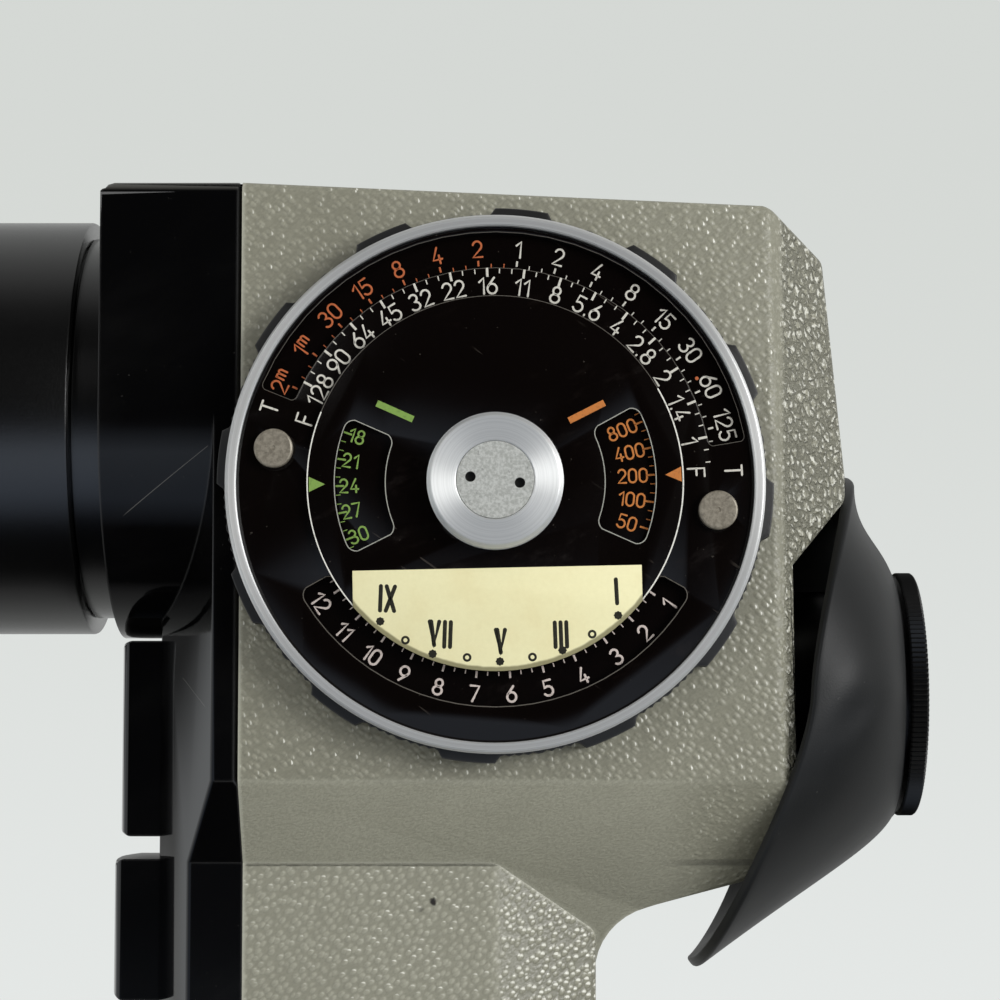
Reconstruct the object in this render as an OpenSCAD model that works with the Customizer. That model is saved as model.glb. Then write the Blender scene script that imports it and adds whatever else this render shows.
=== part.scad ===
// Spot light meter with a pistol handle. The lens looks along -X, the eyepiece is at +X,
// the exposure dial is on the -Y side and +Z is up. The origin is the mouth of the
// tripod socket in the middle of the handle's base. All sizes are in millimetres.

/* [Housing] */
// Half width of the body at its flat sides
body_half_w = 29; // [27:0.5:32]
// Half width of the handle
grip_half_w = 21; // [20:0.5:23]
// Wall thickness of the cast housing
wall = 2.2; // [1.8:0.1:2.6]
// Height of the body's top edge at the front over the lens axis
body_top_rise = 28.9; // [28:0.1:30]
// Height of the body's top edge at the rear over the lens axis
body_rear_rise = 26; // [25:0.1:27]
// Depth of the crease where the flat side ends under the lens axis
shoulder_drop = 48; // [47:0.1:50]
// Height over which the shoulder draws in to the handle's width
shoulder_h = 10.6; // [10:0.1:12]
// Distance of the joint between cover and housing from the origin, forward
seam_front = 16.2; // [15:0.1:17]
// Distance of the body's rear wall from the origin
rear_wall_x = 54.6; // [54:0.1:56]
// Distance of the overhanging rear hood from the origin
hood_x = 62.5; // [61:0.1:64]
// Depth of the hood's lower edge under the lens axis
hood_drop = 11.4; // [10:0.1:13]

/* [Handle] */
// Distance of the handle's rear face from the origin
grip_rear_x = 29.6; // [29:0.1:31]
// Where the handle's flat side turns into its rear bevel
grip_bevel_x = 16.4; // [15.5:0.1:17]
// Half width of the handle's rear face
grip_rear_half_w = 14; // [13.5:0.1:15]
// Radius of the hollow between the handle and the body
web_r = 9; // [7:0.5:11]
// Thickness of the base plate
base_t = 2.4; // [2.2:0.1:3]

/* [Front cover] */
// Distance of the cover's middle flat from the origin, forward
cover_front = 28.3; // [28:0.1:29.5]
// Half width of the cover's middle flat
cover_flat_half_w = 10.5; // [10:0.1:12]
// Distance of the cover's side edge from the origin, forward
cover_side_front = 19.6; // [19:0.1:20.5]
// Distance of the lens block's front face from the origin, forward
block_front = 34.5; // [34:0.1:36]
// Rounding of the lens block's upper edges
block_top_r = 2; // [1:0.5:4]

/* [Lens] */
// Height of the lens axis
lens_z = 131.2; // [131:0.1:132]
// Outer radius of the focusing barrel
barrel_r = 28.4; // [28:0.1:28.8]
// Outer radius of the neck behind the barrel
neck_r = 26.2; // [26:0.1:27]
// Outer radius of the fixed inner tube
inner_tube_r = 25; // [24:0.1:25.5]
// Length of the neck that shows
neck_len = 3.8; // [3:0.1:5]
// Length of the focusing barrel
barrel_len = 58; // [50:1:70]
// Radius of the thread in the front ring
filter_r = 24.5; // [23:0.1:25]
// Length of the thread in the front ring
filter_len = 4; // [3:0.5:5]
// Length of the front ring
front_ring_len = 8.4; // [7:0.1:10]
// Number of ribs round the focusing grip
focus_ribs = 60; // [40:2:80]

/* [Dial] */
// Distance of the dial's axis from the origin
dial_x = 16.4; // [16:0.1:17]
// Depth of the dial's axis under the lens axis
dial_drop = 10.5; // [10:0.1:11]
// Outer radius of the bright bezel
bezel_r = 34; // [33:0.1:35]
// Width of the bright bezel
bezel_w = 1.4; // [1.2:0.1:1.8]
// How far the grip lobes stand out past the bezel
lobe_h = 1.2; // [0.8:0.1:1.6]
// Number of grip lobes
lobe_count = 12; // [8:1:16]
// Width of the ring between the bezel's outside and the raised speed mask
scale_ring_w = 10.3; // [10:0.1:11]
// Radius of the bright hub
hub_r = 8.55; // [8:0.05:9]
// Radius of the two finger pins
pin_r = 2.45; // [2:0.05:2.6]
// Distance of the finger pins' centres from the bezel's outside
pin_inset = 5.8; // [5.4:0.1:6]

/* [Eyepiece] */
// Depth of the eyepiece axis under the lens axis
eye_drop = 36.6; // [36:0.1:37]
// Outer radius of the eyepiece tube
eye_tube_r = 14; // [13.5:0.1:14.5]
// Bore of the eyepiece tube
eye_bore_r = 12; // [11:0.1:12.5]
// Outer radius of the knurled focusing ring
diopter_r = 16.6; // [16:0.1:17.5]
// Distance of the focusing ring's rear face from the origin
diopter_rear_x = 73.5; // [73:0.1:75]
// Thickness of the rubber eyecup
cup_t = 1.8; // [1.4:0.1:2.2]

/* [Triggers] */
// Half width of both triggers
trigger_half_w = 9; // [8:0.1:10]
// Lower end of the upper trigger
trigger_up_z0 = 75.5; // [75:0.1:77]
// Upper end of the upper trigger
trigger_up_z1 = 101.6; // [100:0.1:101.8]
// Lower end of the lower trigger
trigger_low_z0 = 53.8; // [52:0.1:56]
// Upper end of the lower trigger
trigger_low_z1 = 72.5; // [71:0.1:73]
// How far the upper trigger stands out of the cover
trigger_up_out = 6.2; // [5:0.1:7]
// How far the lower trigger stands out of the cover
trigger_low_out = 7; // [5:0.1:7.5]
// Travel of both triggers
trigger_travel = 2.6; // [2:0.1:2.8]

/* [Battery] */
// Length of the battery's body
battery_len = 48.5; // [47:0.5:49]
// Wide side of the battery
battery_w = 26.5; // [26:0.1:26.6]
// Narrow side of the battery
battery_t = 17.5; // [17:0.1:17.6]

/* [Tripod socket] */
// Radius of the socket's threaded bore
tripod_r = 3.175; // [3.1:0.005:3.25]
// Depth of the threaded bore
tripod_len = 8.6; // [7:0.1:9]

/* [Fits] */
// Radial clearance of parts that turn or slide on each other
fit = 0.06; // [0.03:0.01:0.09]
// Clearance between parts that only lie near each other
gap = 0.3; // [0.2:0.05:0.4]

/* [Hidden] */

fine = 96;
medium = 48;
small = 24;
eps = 0.01;
seam_x = -seam_front;
body_top_z = lens_z + body_top_rise;
body_rear_top_z = lens_z + body_rear_rise;
shoulder_hi_z = lens_z - shoulder_drop;
shoulder_lo_z = shoulder_hi_z - shoulder_h;
hood_low_z = lens_z - hood_drop;
dial_z = lens_z - dial_drop;
eye_z = lens_z - eye_drop;

// Points of a closed polygon, moved inwards by d. The points run anticlockwise.
function unit(v) = v / norm(v);
function left_of(v) = [-v[1], v[0]];
function inset(pts, d) = [
  for (i = [0:len(pts) - 1])
    let (
      n = len(pts),
      a = left_of(unit(pts[i] - pts[(i + n - 1) % n])),
      b = left_of(unit(pts[(i + 1) % n] - pts[i]))
    )
    pts[i] + (a + b) * d / (1 + a * b)
];
function arc(cx, cy, r, a0, a1, n) = [
  for (i = [0:n]) let (a = a0 + (a1 - a0) * i / n) [cx + r * cos(a), cy + r * sin(a)]
];

// Side outline of the upper body in the XZ plane. The hollow behind the handle is an arc
// that meets the sloping underside.
under_slope = 15.6;
web_z = shoulder_lo_z - 14.7;
face_rear_x = 52.4;
hood_top_x = 59.4;
hood_top_z = body_top_z - 9;
hood_edge_h = 3.2;
under_rear = [face_rear_x, shoulder_lo_z - 1.5];
open_front = 6;
function body_side(front) = concat(
  [[-front, web_z], [grip_rear_x, web_z]],
  arc(grip_rear_x + web_r, web_z, web_r, 172, 90 + under_slope, 7),
  [
    under_rear, [rear_wall_x + 0.3, under_rear[1] + 9.5], [rear_wall_x, hood_low_z - 9],
    [hood_x, hood_low_z], [hood_x, hood_low_z + hood_edge_h], [hood_top_x, hood_top_z],
    [face_rear_x - 1, body_rear_top_z],
    [-front, body_top_z + (front - seam_front) * 0.043]
  ]
);

// Outline of the upper body seen along X: straight sides over a shoulder that draws in.
shoulder_slope = (body_half_w - grip_half_w) / (shoulder_hi_z - shoulder_lo_z);
section_low_z = web_z - 3;
section_high_z = body_top_z + 15;
function section_w(z) = body_half_w - shoulder_slope * (shoulder_hi_z - z);
body_section = [
  [-section_w(section_low_z), section_low_z], [section_w(section_low_z), section_low_z],
  [body_half_w, shoulder_hi_z], [body_half_w, section_high_z],
  [-body_half_w, section_high_z], [-body_half_w, shoulder_hi_z]
];

// Outline of the handle seen from above.
function grip_plan(front) = [
  [-front, -grip_half_w], [grip_bevel_x, -grip_half_w], [grip_rear_x, -grip_rear_half_w],
  [grip_rear_x, grip_rear_half_w], [grip_bevel_x, grip_half_w], [-front, grip_half_w]
];

// Outline of the front cover seen from above, for the full body width.
cover_slope = (cover_front - cover_side_front) / (body_half_w - cover_flat_half_w);
function cover_x(y) = -cover_side_front - cover_slope * (body_half_w - y);
function cover_plan(rear) = [
  [-cover_front, -cover_flat_half_w], [-cover_side_front, -body_half_w],
  [rear, -body_half_w], [rear, body_half_w],
  [-cover_side_front, body_half_w], [-cover_front, cover_flat_half_w]
];
foot_plan = [
  [-cover_front, -cover_flat_half_w], [cover_x(grip_half_w), -grip_half_w],
  [grip_bevel_x, -grip_half_w], [grip_rear_x, -grip_rear_half_w],
  [grip_rear_x, grip_rear_half_w], [grip_bevel_x, grip_half_w],
  [cover_x(grip_half_w), grip_half_w], [-cover_front, cover_flat_half_w]
];

module extrude_y(pts, y0, y1) {
  translate([0, y1, 0]) rotate([90, 0, 0]) linear_extrude(y1 - y0) polygon(pts);
}
module extrude_x(pts, x0, x1) {
  translate([x0, 0, 0]) rotate([90, 0, 90]) linear_extrude(x1 - x0) polygon(pts);
}
module extrude_z(pts, z0, z1) {
  translate([0, 0, z0]) linear_extrude(z1 - z0) polygon(pts);
}
module rod_x(x0, x1, r, z, y = 0, fn = fine) {
  translate([x0, y, z]) rotate([0, 90, 0]) cylinder(h = x1 - x0, r = r, $fn = fn);
}
module rod_y(y0, y1, r, x, z, fn = small) {
  translate([x, y1, z]) rotate([90, 0, 0]) cylinder(h = y1 - y0, r = r, $fn = fn);
}
module rod_z(z0, z1, r, x, y, fn = small) {
  translate([x, y, z0]) cylinder(h = z1 - z0, r = r, $fn = fn);
}
module block(x, y, z) {
  translate([x[0], y[0], z[0]]) cube([x[1] - x[0], y[1] - y[0], z[1] - z[0]]);
}
// Tube along X about an axis at height z.
module tube_x(x0, x1, ro, ri, z, fn = fine) {
  difference() {
    rod_x(x0, x1, ro, z, 0, fn);
    rod_x(x0 - 1, x1 + 1, ri, z, 0, fn);
  }
}

// Housing. The rear corners are planed off by a leaning bevel.
bevel_angle = atan2(10, 11);
bevel_lean = -0.85;
far = 120;
module rear_bevel(d) {
  for (s = [-1, 1])
    translate([face_rear_x, s * body_half_w, dial_z])
      rotate([0, bevel_lean, 0])
        rotate([0, 0, s * bevel_angle])
          translate([-d, -far / 2, -far]) cube([far, far, 2 * far]);
}
module housing_form(d) {
  front = d > 0 ? seam_front + open_front : seam_front;
  difference() {
    intersection() {
      extrude_y(inset(body_side(front), d), -body_half_w - 1, body_half_w + 1);
      extrude_x(inset(body_section, d), -front, hood_x + 1);
    }
    rear_bevel(d);
  }
  extrude_z(inset(grip_plan(front), d), base_t - (d > 0 ? 1 : 0), shoulder_lo_z - d);
}

// Screws that hold the two halves, driven from the right side.
screw_at = [
  [-9, body_top_z - 7.1], [46, body_rear_top_z - 7.7], [43.6, shoulder_hi_z - 3.7],
  [-8, shoulder_lo_z - 6.1], [-9.5, 9]
];
screw_boss_r = 3;
screw_r = 1;
screw_head_r = 2.3;
screw_head_h = 1.2;
screw_reach = 8;
function side_at(z) = z > shoulder_hi_z ? body_half_w
  : z > shoulder_lo_z ? section_w(z) : grip_half_w;
module screw_holes() {
  for (p = screw_at) {
    w = side_at(p[1]);
    rod_y(-w + wall + 1, w + 1, screw_r + gap / 4, p[0], p[1]);
    rod_y(w - screw_head_h - gap, w + 3, screw_head_r + gap / 2, p[0], p[1]);
  }
}
module screw_bosses(s) {
  for (p = screw_at) {
    w = side_at(p[1]) - wall / 2;
    if (s < 0) rod_y(-w, -gap / 2, screw_boss_r, p[0], p[1]);
    else rod_y(gap / 2, w, screw_boss_r, p[0], p[1]);
  }
}
base_screw_y = grip_half_w - 4.6;
base_screw_at = [[1, base_screw_y], [1, -base_screw_y]];
base_screw_front = [[-22, 13], [-22, -13]];
base_screw_r = 1.1;
module base_bosses(points, s) {
  for (p = points)
    if (p[1] * s > 0) rod_z(base_t, base_t + 9, 2.8, p[0], p[1]);
}
module base_holes(points) {
  for (p = points) rod_z(-1, base_t + 7.5, base_screw_r + gap / 6, p[0], p[1]);
}
// Ledges inside the handle that carry the battery's snap plate.
snap_z = base_t + battery_len + 3.6;
snap_t = 1.6;
battery_x = 16.2;
module snap_ledge(s) {
  block([battery_x - 5, battery_x + 5],
    s > 0 ? [14, grip_half_w - wall / 2] : [-grip_half_w + wall / 2, -14],
    [snap_z + snap_t + gap / 3, snap_z + snap_t + 2.4]);
}
eye_hole_r = eye_tube_r + gap / 3;
module housing_half(s) {
  difference() {
    union() {
      difference() {
        housing_form(0);
        housing_form(wall);
      }
      intersection() {
        housing_form(0);
        union() {
          screw_bosses(s);
          base_bosses(base_screw_at, s);
          snap_ledge(s);
        }
      }
    }
    translate([-far, s > 0 ? -far : 0, -1]) cube([2 * far, far, 2 * far]);
    screw_holes();
    base_holes(base_screw_at);
    rod_x(rear_wall_x - 5, rear_wall_x + 5, eye_hole_r, eye_z);
    if (s < 0)
      rod_y(-body_half_w - 1, -body_half_w + wall + 1, spindle_r + gap / 3, dial_x, dial_z, medium);
  }
}
module left_housing() {
  color([0.55, 0.54, 0.47]) housing_half(-1);
}
module right_housing() {
  color([0.55, 0.54, 0.47]) {
    housing_half(1);
    for (x = [board_x[0] + 4, board_x[1] - 4], z = [board_z[0] + 4, board_z[1] - 4])
      rod_y(board_y1, body_half_w - wall / 2, 2, x, z);
  }
}
module housing_screws() {
  color([0.3, 0.3, 0.3])
    for (p = screw_at) {
      w = side_at(p[1]);
      difference() {
        union() {
          rod_y(-screw_reach, w - screw_head_h - gap / 2, screw_r, p[0], p[1]);
          rod_y(w - screw_head_h - gap, w - gap, screw_head_r, p[0], p[1]);
        }
        block([p[0] - 3, p[0] + 3], [w - gap - 0.6, w], [p[1] - 0.3, p[1] + 0.3]);
      }
    }
}

// Front cover: a block round the lens, and a bevelled front that runs down the handle.
block_r = body_half_w;
block_top = body_top_z + 0.2;
module cover_form(d) {
  rear = d > 0 ? seam_x + open_front : seam_x;
  intersection() {
    extrude_z(inset(cover_plan(rear), d), base_t - (d > 0 ? 1 : 0), lens_z + (d > 0 ? 1 : 0));
    union() {
      extrude_x(inset(body_section, d), -block_front - 1, 0);
      block([-block_front, 0], [-grip_half_w + d, grip_half_w - d], [0, shoulder_lo_z - d]);
    }
  }
}
// Outline of the lens block seen along X: a half round under straight sides.
function block_outline(d) =
  let (r = block_r - d, top = block_top - d, q = block_top_r)
  concat(
    arc(0, lens_z, r, 180, 360, 40),
    arc(r - q, top - q, q, 0, 90, 5),
    arc(-r + q, top - q, q, 90, 180, 5)
  );
module block_form(x0, x1, d) {
  extrude_x(block_outline(d), x0, x1);
}
mount_spigot_r = 23.9;
trigger_gap = 0.25;
module trigger_slot(z0, z1) {
  block([-cover_front - 9, -cover_front + wall + 1],
    [-trigger_half_w - trigger_gap, trigger_half_w + trigger_gap],
    [z0 - trigger_gap, z1 + trigger_gap]);
}
module front_cover() {
  color([0.04, 0.04, 0.045])
    difference() {
      union() {
        difference() {
          union() {
            cover_form(0);
            block_form(-block_front, seam_x, 0);
          }
          cover_form(wall);
          block_form(-block_front + wall, seam_x + 1, wall);
        }
        intersection() {
          cover_form(0);
          union() {
            base_bosses(base_screw_front, 1);
            base_bosses(base_screw_front, -1);
            for (s = [-1, 1], z = board_rest_z)
              block([-cover_front, board_x0 - gap / 3], s > 0 ? [11.5, 16] : [-16, -11.5], [z, z + 3]);
          }
        }
      }
      rod_x(-block_front - 1, seam_x, mount_spigot_r + gap / 3, lens_z);
      trigger_slot(trigger_up_z0, trigger_up_z1);
      trigger_slot(trigger_low_z0, trigger_low_z1);
      base_holes(base_screw_front);
    }
}

// Base plate with the tripod socket and the sliding battery door.
door_half_w = 14.6;
door_x0 = battery_x - battery_t / 2 - 0.5;
door_travel = 21;
module base_plate() {
  color([0.1, 0.1, 0.1])
    difference() {
      extrude_z(foot_plan, 0, base_t);
      rod_z(-1, base_t + 1, socket_r + gap / 6, 0, 0, medium);
      for (p = concat(base_screw_at, base_screw_front)) {
        rod_z(-1, base_t + 1, base_screw_r + gap / 6, p[0], p[1]);
        rod_z(-1, 1.2, 2.2, p[0], p[1]);
      }
      block([door_x0 - gap / 2, grip_rear_x + 1], [-door_half_w - gap / 2, door_half_w + gap / 2],
        [-1, base_t + 1]);
      block([door_x0 - gap / 2, grip_rear_x + 1],
        [-door_half_w - 1 - gap / 2, door_half_w + 1 + gap / 2], [0.65, 1.55]);
    }
}
module base_screws() {
  color([0.6, 0.6, 0.6])
    for (p = concat(base_screw_at, base_screw_front)) {
      rod_z(1, base_t + 6.5, base_screw_r, p[0], p[1]);
      difference() {
        rod_z(0.3, 1.2, 2, p[0], p[1]);
        block([p[0] - 2.5, p[0] + 2.5], [p[1] - 0.3, p[1] + 0.3], [0, 0.7]);
      }
    }
}
socket_r = 5.4;
socket_flange_r = 6.2;
module tripod_socket() {
  color([0.72, 0.62, 0.4])
    difference() {
      union() {
        rod_z(0, tripod_len + 1, socket_r, 0, 0, medium);
        rod_z(base_t + eps, base_t + 1.4, socket_flange_r, 0, 0, medium);
      }
      rod_z(-1, tripod_len, tripod_r, 0, 0, medium);
    }
}
module battery_cover() {
  color([0.08, 0.08, 0.08])
    difference() {
      intersection() {
        union() {
          block([door_x0, grip_rear_x], [-door_half_w, door_half_w], [0.2, base_t - 0.3]);
          block([door_x0, grip_rear_x], [-door_half_w - 1, door_half_w + 1], [0.8, 1.4]);
        }
        extrude_z(foot_plan, 0, base_t);
      }
      for (i = [0:4]) block([20 + 1.5 * i, 20.7 + 1.5 * i], [-7, 7], [0, 0.55]);
    }
}
module battery() {
  z1 = base_t + battery_len;
  color([0.2, 0.2, 0.22]) {
    block([battery_x - battery_t / 2, battery_x + battery_t / 2], [-battery_w / 2, battery_w / 2],
      [base_t - 0.1, z1]);
    for (s = [-1, 1]) rod_z(z1, z1 + 2.8, 2.6, battery_x, s * 6.35);
  }
}
module battery_contacts() {
  color([0.15, 0.15, 0.15])
    difference() {
      union() {
        block([battery_x - 6.5, battery_x + 4.4], [-16, 16], [snap_z, snap_z + snap_t]);
        for (s = [-1, 1]) rod_z(snap_z - 2.6, snap_z, 3.6, battery_x, s * 6.35);
      }
      for (s = [-1, 1]) rod_z(snap_z - 3, snap_z - gap, 2.7, battery_x, s * 6.35);
    }
}

// Lens: a fixed tube, a turning barrel and a cell that the barrel drives forward.
neck_x = -block_front - neck_len;
barrel_front_x = neck_x - barrel_len;
tube_front_x = barrel_front_x + 2;
cell_r = inner_tube_r - 2;
front_ring_r = filter_r + 2.7;
front_x = barrel_front_x - gap - front_ring_len;
module lens_mount() {
  color([0.05, 0.05, 0.05]) {
    tube_x(neck_x, -block_front, neck_r, cell_r + fit, lens_z);
    tube_x(tube_front_x, neck_x, inner_tube_r, cell_r + fit, lens_z);
    tube_x(-block_front, -block_front + wall + 2, mount_spigot_r, cell_r + fit, lens_z);
  }
}
focus_grip_len = 20;
focus_grip_h = 0.7;
module focus_ring() {
  color([0.06, 0.06, 0.06]) {
    tube_x(barrel_front_x, neck_x - gap, barrel_r, inner_tube_r + fit, lens_z);
    for (i = [0:focus_ribs - 1])
      translate([barrel_front_x + 5, 0, lens_z])
        rotate([i * 360 / focus_ribs, 0, 0])
          translate([0, -0.8, barrel_r - 0.4]) cube([focus_grip_len, 1.6, focus_grip_h + 0.4]);
  }
}
element_seat_x = front_x + front_ring_len - 0.6;
element_r = 21.5;
front_stop_r = 19.5;
rear_stop_r = 15;
stop_t = 2;
module lens_cell() {
  color([0.05, 0.05, 0.05]) {
    difference() {
      rod_x(front_x, barrel_front_x - gap, front_ring_r, lens_z);
      rod_x(front_x - 1, front_x + filter_len, filter_r, lens_z);
      rod_x(front_x, barrel_front_x, element_r + fit, lens_z);
    }
    tube_x(barrel_front_x - gap, tube_front_x + 34, cell_r, element_r + fit, lens_z);
    tube_x(element_seat_x + 6, element_seat_x + 6 + stop_t, element_r + fit, front_stop_r, lens_z);
    tube_x(tube_front_x + 30, tube_front_x + 30 + stop_t, element_r + fit, rear_stop_r, lens_z);
  }
}
// Lens element with two curved faces, made as a revolve about X.
module element(x, r, edge, bulge_front, bulge_rear, z) {
  steps = 8;
  prof = concat(
    [for (i = [0:steps]) let (t = i / steps) [r * t, -edge / 2 - bulge_front * (1 - t * t)]],
    [for (i = [steps:-1:0]) let (t = i / steps) [r * t, edge / 2 + bulge_rear * (1 - t * t)]]
  );
  translate([x, 0, z]) rotate([0, 90, 0]) rotate_extrude($fn = fine) polygon(prof);
}
module front_element() {
  color([0.5, 0.6, 0.75, 0.4]) element(element_seat_x + 4, element_r, 3.6, 2.6, 0.3, lens_z);
}
module rear_element() {
  color([0.5, 0.6, 0.75, 0.4]) element(tube_front_x + 28, element_r, 3.6, 0.2, -1.2, lens_z);
}
module lens_retainer() {
  color([0.1, 0.1, 0.1])
    difference() {
      rod_x(element_seat_x - 0.4, element_seat_x + 1.7, element_r, lens_z);
      rod_x(element_seat_x - 1, element_seat_x + 3, element_r - 1.8, lens_z);
      for (s = [-1, 1]) block([element_seat_x - 1, element_seat_x + 0.4],
        [s * (element_r - 1) - 0.8, s * (element_r - 1) + 0.8], [lens_z - 0.5, lens_z + 0.5]);
    }
}

// Dial. Local +Z points out of the body, and heights are counted from its side face.
module at_dial() {
  translate([dial_x, -body_half_w, dial_z]) rotate([90, 0, 0]) children();
}
module disc(h0, h1, r, fn = fine) {
  translate([0, 0, h0]) cylinder(h = h1 - h0, r = r, $fn = fn);
}
module ring(h0, h1, ro, ri, fn = fine) {
  difference() {
    disc(h0, h1, ro, fn);
    disc(h0 - 1, h1 + 1, ri, fn);
  }
}
// Points from i0 to i1 of a quarter round that has its middle at radius r and angle a.
corner_steps = 4;
function corner(r, a, q, b0, b1, i0, i1) = [
  for (i = [i0:i1])
    let (b = b0 + (b1 - b0) * i / corner_steps)
    [r * cos(a) + q * cos(b), r * sin(a) + q * sin(b)]
];
// Curved window between two radii w[0], w[1] and two angles w[2], w[3], with rounded corners.
function band(w, q, n) =
  let (
    last = corner_steps,
    o = asin(q / (w[1] - q)),
    i = asin(q / (w[0] + q))
  )
  concat(
    arc(0, 0, w[1], w[2] + o, w[3] - o, n),
    corner(w[1] - q, w[3] - o, q, w[3] - o, w[3] + 90, 1, last),
    corner(w[0] + q, w[3] - i, q, w[3] + 90, w[3] - i + 180, 0, last - 1),
    arc(0, 0, w[0], w[3] - i, w[2] + i, n),
    corner(w[0] + q, w[2] + i, q, w[2] + i + 180, w[2] + 270, 1, last),
    corner(w[1] - q, w[2] + o, q, w[2] - 90, w[2] + o, 0, last - 1)
  );
mask_r = bezel_r - scale_ring_w;
pin_ring_r = bezel_r - pin_inset;
base_disc_r = bezel_r - bezel_w - 0.5;
spindle_r = 3.9;
dial_base_h = 1.6;
disc_h = 3.4;
time_in_r = mask_r - 0.9;
window_h = 4.3;
window_t = 0.9;
mask_h = window_h + window_t + 0.1;
mask_t = 0.8;
bezel_top_h = 6;
label_t = 0.2;
module dial_base() {
  color([0.08, 0.08, 0.08]) at_dial()
    difference() {
      union() {
        disc(0, dial_base_h, base_disc_r);
        disc(dial_base_h, window_h - 0.15, time_in_r - 0.8);
      }
      disc(-1, window_h + 1, spindle_r + fit, medium);
    }
}
// Lobed and serrated edge of the turning ring.
lobe_turn = 24.5;
lobe_arc = 12;
serrations = 9;
function grip_r(a) =
  let (pitch = 360 / lobe_count, d = abs((a - lobe_turn + pitch * 50) % pitch - pitch / 2),
    from_lobe = pitch / 2 - d)
  from_lobe < lobe_arc / 2 ? bezel_r + lobe_h
    : bezel_r + 0.15 + 0.25 * (round((from_lobe - lobe_arc / 2) * serrations / (pitch - lobe_arc) * 2) % 2);
grip_step = 1;
module grip_ring() {
  color([0.05, 0.05, 0.05]) at_dial() {
    difference() {
      translate([0, 0, 0.3]) linear_extrude(3.7)
        polygon([for (a = [0:grip_step:360 - grip_step]) grip_r(a) * [cos(a), sin(a)]]);
      disc(0, 5, base_disc_r + fit);
    }
    ring(dial_base_h + 0.4, disc_h - 0.1, base_disc_r + fit + 0.5, base_disc_r - 5);
  }
}
module bezel() {
  color([0.82, 0.82, 0.82]) at_dial()
    difference() {
      union() {
        disc(4.02, bezel_top_h - 0.35, bezel_r);
        translate([0, 0, bezel_top_h - 0.35])
          cylinder(h = 0.35, r1 = bezel_r, r2 = bezel_r - 0.3, $fn = fine);
      }
      disc(0, bezel_top_h + 1, bezel_r - bezel_w);
    }
}
module time_disc() {
  color([0.03, 0.03, 0.03]) at_dial() ring(disc_h, disc_h + 0.6, base_disc_r - 0.1, time_in_r);
}
// Windows in the turning plate, which show the scales on the disc below it.
time_window = [bezel_r - 6.7, bezel_r - 2.1, 9.5, 158];
value_window = [mask_r - 0.5, bezel_r - 5.9, 209, 331];
time_window_corner = 0.7;
value_window_corner = 1.4;
module arc_window(w, q, n) {
  translate([0, 0, window_h - 1]) linear_extrude(window_t + 2) polygon(band(w, q, n));
}
pin_angles = [171.3, -7.2];
module window_disc() {
  color([0.02, 0.02, 0.02]) at_dial()
    difference() {
      disc(window_h, window_h + window_t, bezel_r - bezel_w - fit);
      disc(0, 9, spindle_r + fit, medium);
      arc_window(time_window, time_window_corner, 24);
      arc_window(value_window, value_window_corner, 20);
      for (a = pin_angles) rotate([0, 0, a]) translate([pin_ring_r, 0, 0]) disc(0, 9, 1 + gap / 10, small);
    }
}
module dial_pins() {
  color([0.6, 0.58, 0.52]) at_dial()
    for (a = pin_angles) rotate([0, 0, a]) translate([pin_ring_r, 0, 0]) {
      disc(window_h + 0.05, window_h + window_t, 1, small);
      disc(window_h + window_t, window_h + window_t + 0.9, pin_r, medium);
      translate([0, 0, window_h + window_t + 0.9])
        cylinder(h = 0.25, r1 = pin_r, r2 = pin_r - 0.25, $fn = medium);
    }
}
// Fixed mask over the film speed scale.
speed_window = [mask_r - 9.9, mask_r - 3.5];
speed_arcs = [[156, 207], [-24, 29]];
speed_window_corner = 1.3;
module speed_mask() {
  color([0.02, 0.02, 0.02]) at_dial()
    difference() {
      disc(mask_h, mask_h + mask_t, mask_r);
      disc(0, 9, spindle_r + gap / 6, medium);
      for (w = speed_arcs)
        translate([0, 0, mask_h - 1]) linear_extrude(mask_t + 2)
          polygon(band(concat(speed_window, w), speed_window_corner, 10));
    }
}
label_chord = 12.9 - mask_r;
label_half_w = mask_r - 5.6;
label_turn = 1.2;
module dial_label() {
  color([0.9, 0.87, 0.68]) at_dial()
    translate([0, 0, mask_h + mask_t]) linear_extrude(label_t)
      rotate([0, 0, label_turn])
        intersection() {
          circle(r = mask_r, $fn = fine);
          translate([-label_half_w, -mask_r - 2]) square([2 * label_half_w, mask_r + 2 + label_chord]);
        }
}
hub_top_h = 9.4;
hub_floor_h = 8.2;
module dial_hub() {
  color([0.85, 0.85, 0.85]) at_dial()
    difference() {
      union() {
        disc(mask_h + mask_t + 0.02, hub_top_h - 0.8, hub_r);
        translate([0, 0, hub_top_h - 0.8])
          cylinder(h = 0.8, r1 = hub_r, r2 = hub_r - 0.5, $fn = fine);
      }
      disc(0, hub_floor_h, spindle_r + gap / 6, medium);
      for (s = [-1, 1]) rotate([0, 0, -7]) translate([s * 3.05, 0, 0])
        disc(hub_top_h - 0.9, hub_top_h + 1, 0.62, small);
    }
}
nut_h = 2.2;
module dial_spindle() {
  color([0.6, 0.6, 0.6]) at_dial() {
    disc(-wall - nut_h - 1, hub_floor_h - 0.2, spindle_r, medium);
    disc(-wall - nut_h - 0.6, -wall - 0.65, 6, 6);
  }
}
module spring_washer() {
  color([0.7, 0.7, 0.7]) at_dial() ring(-wall - 0.6, -wall - 0.02, 6.6, spindle_r + gap / 3, medium);
}

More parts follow.
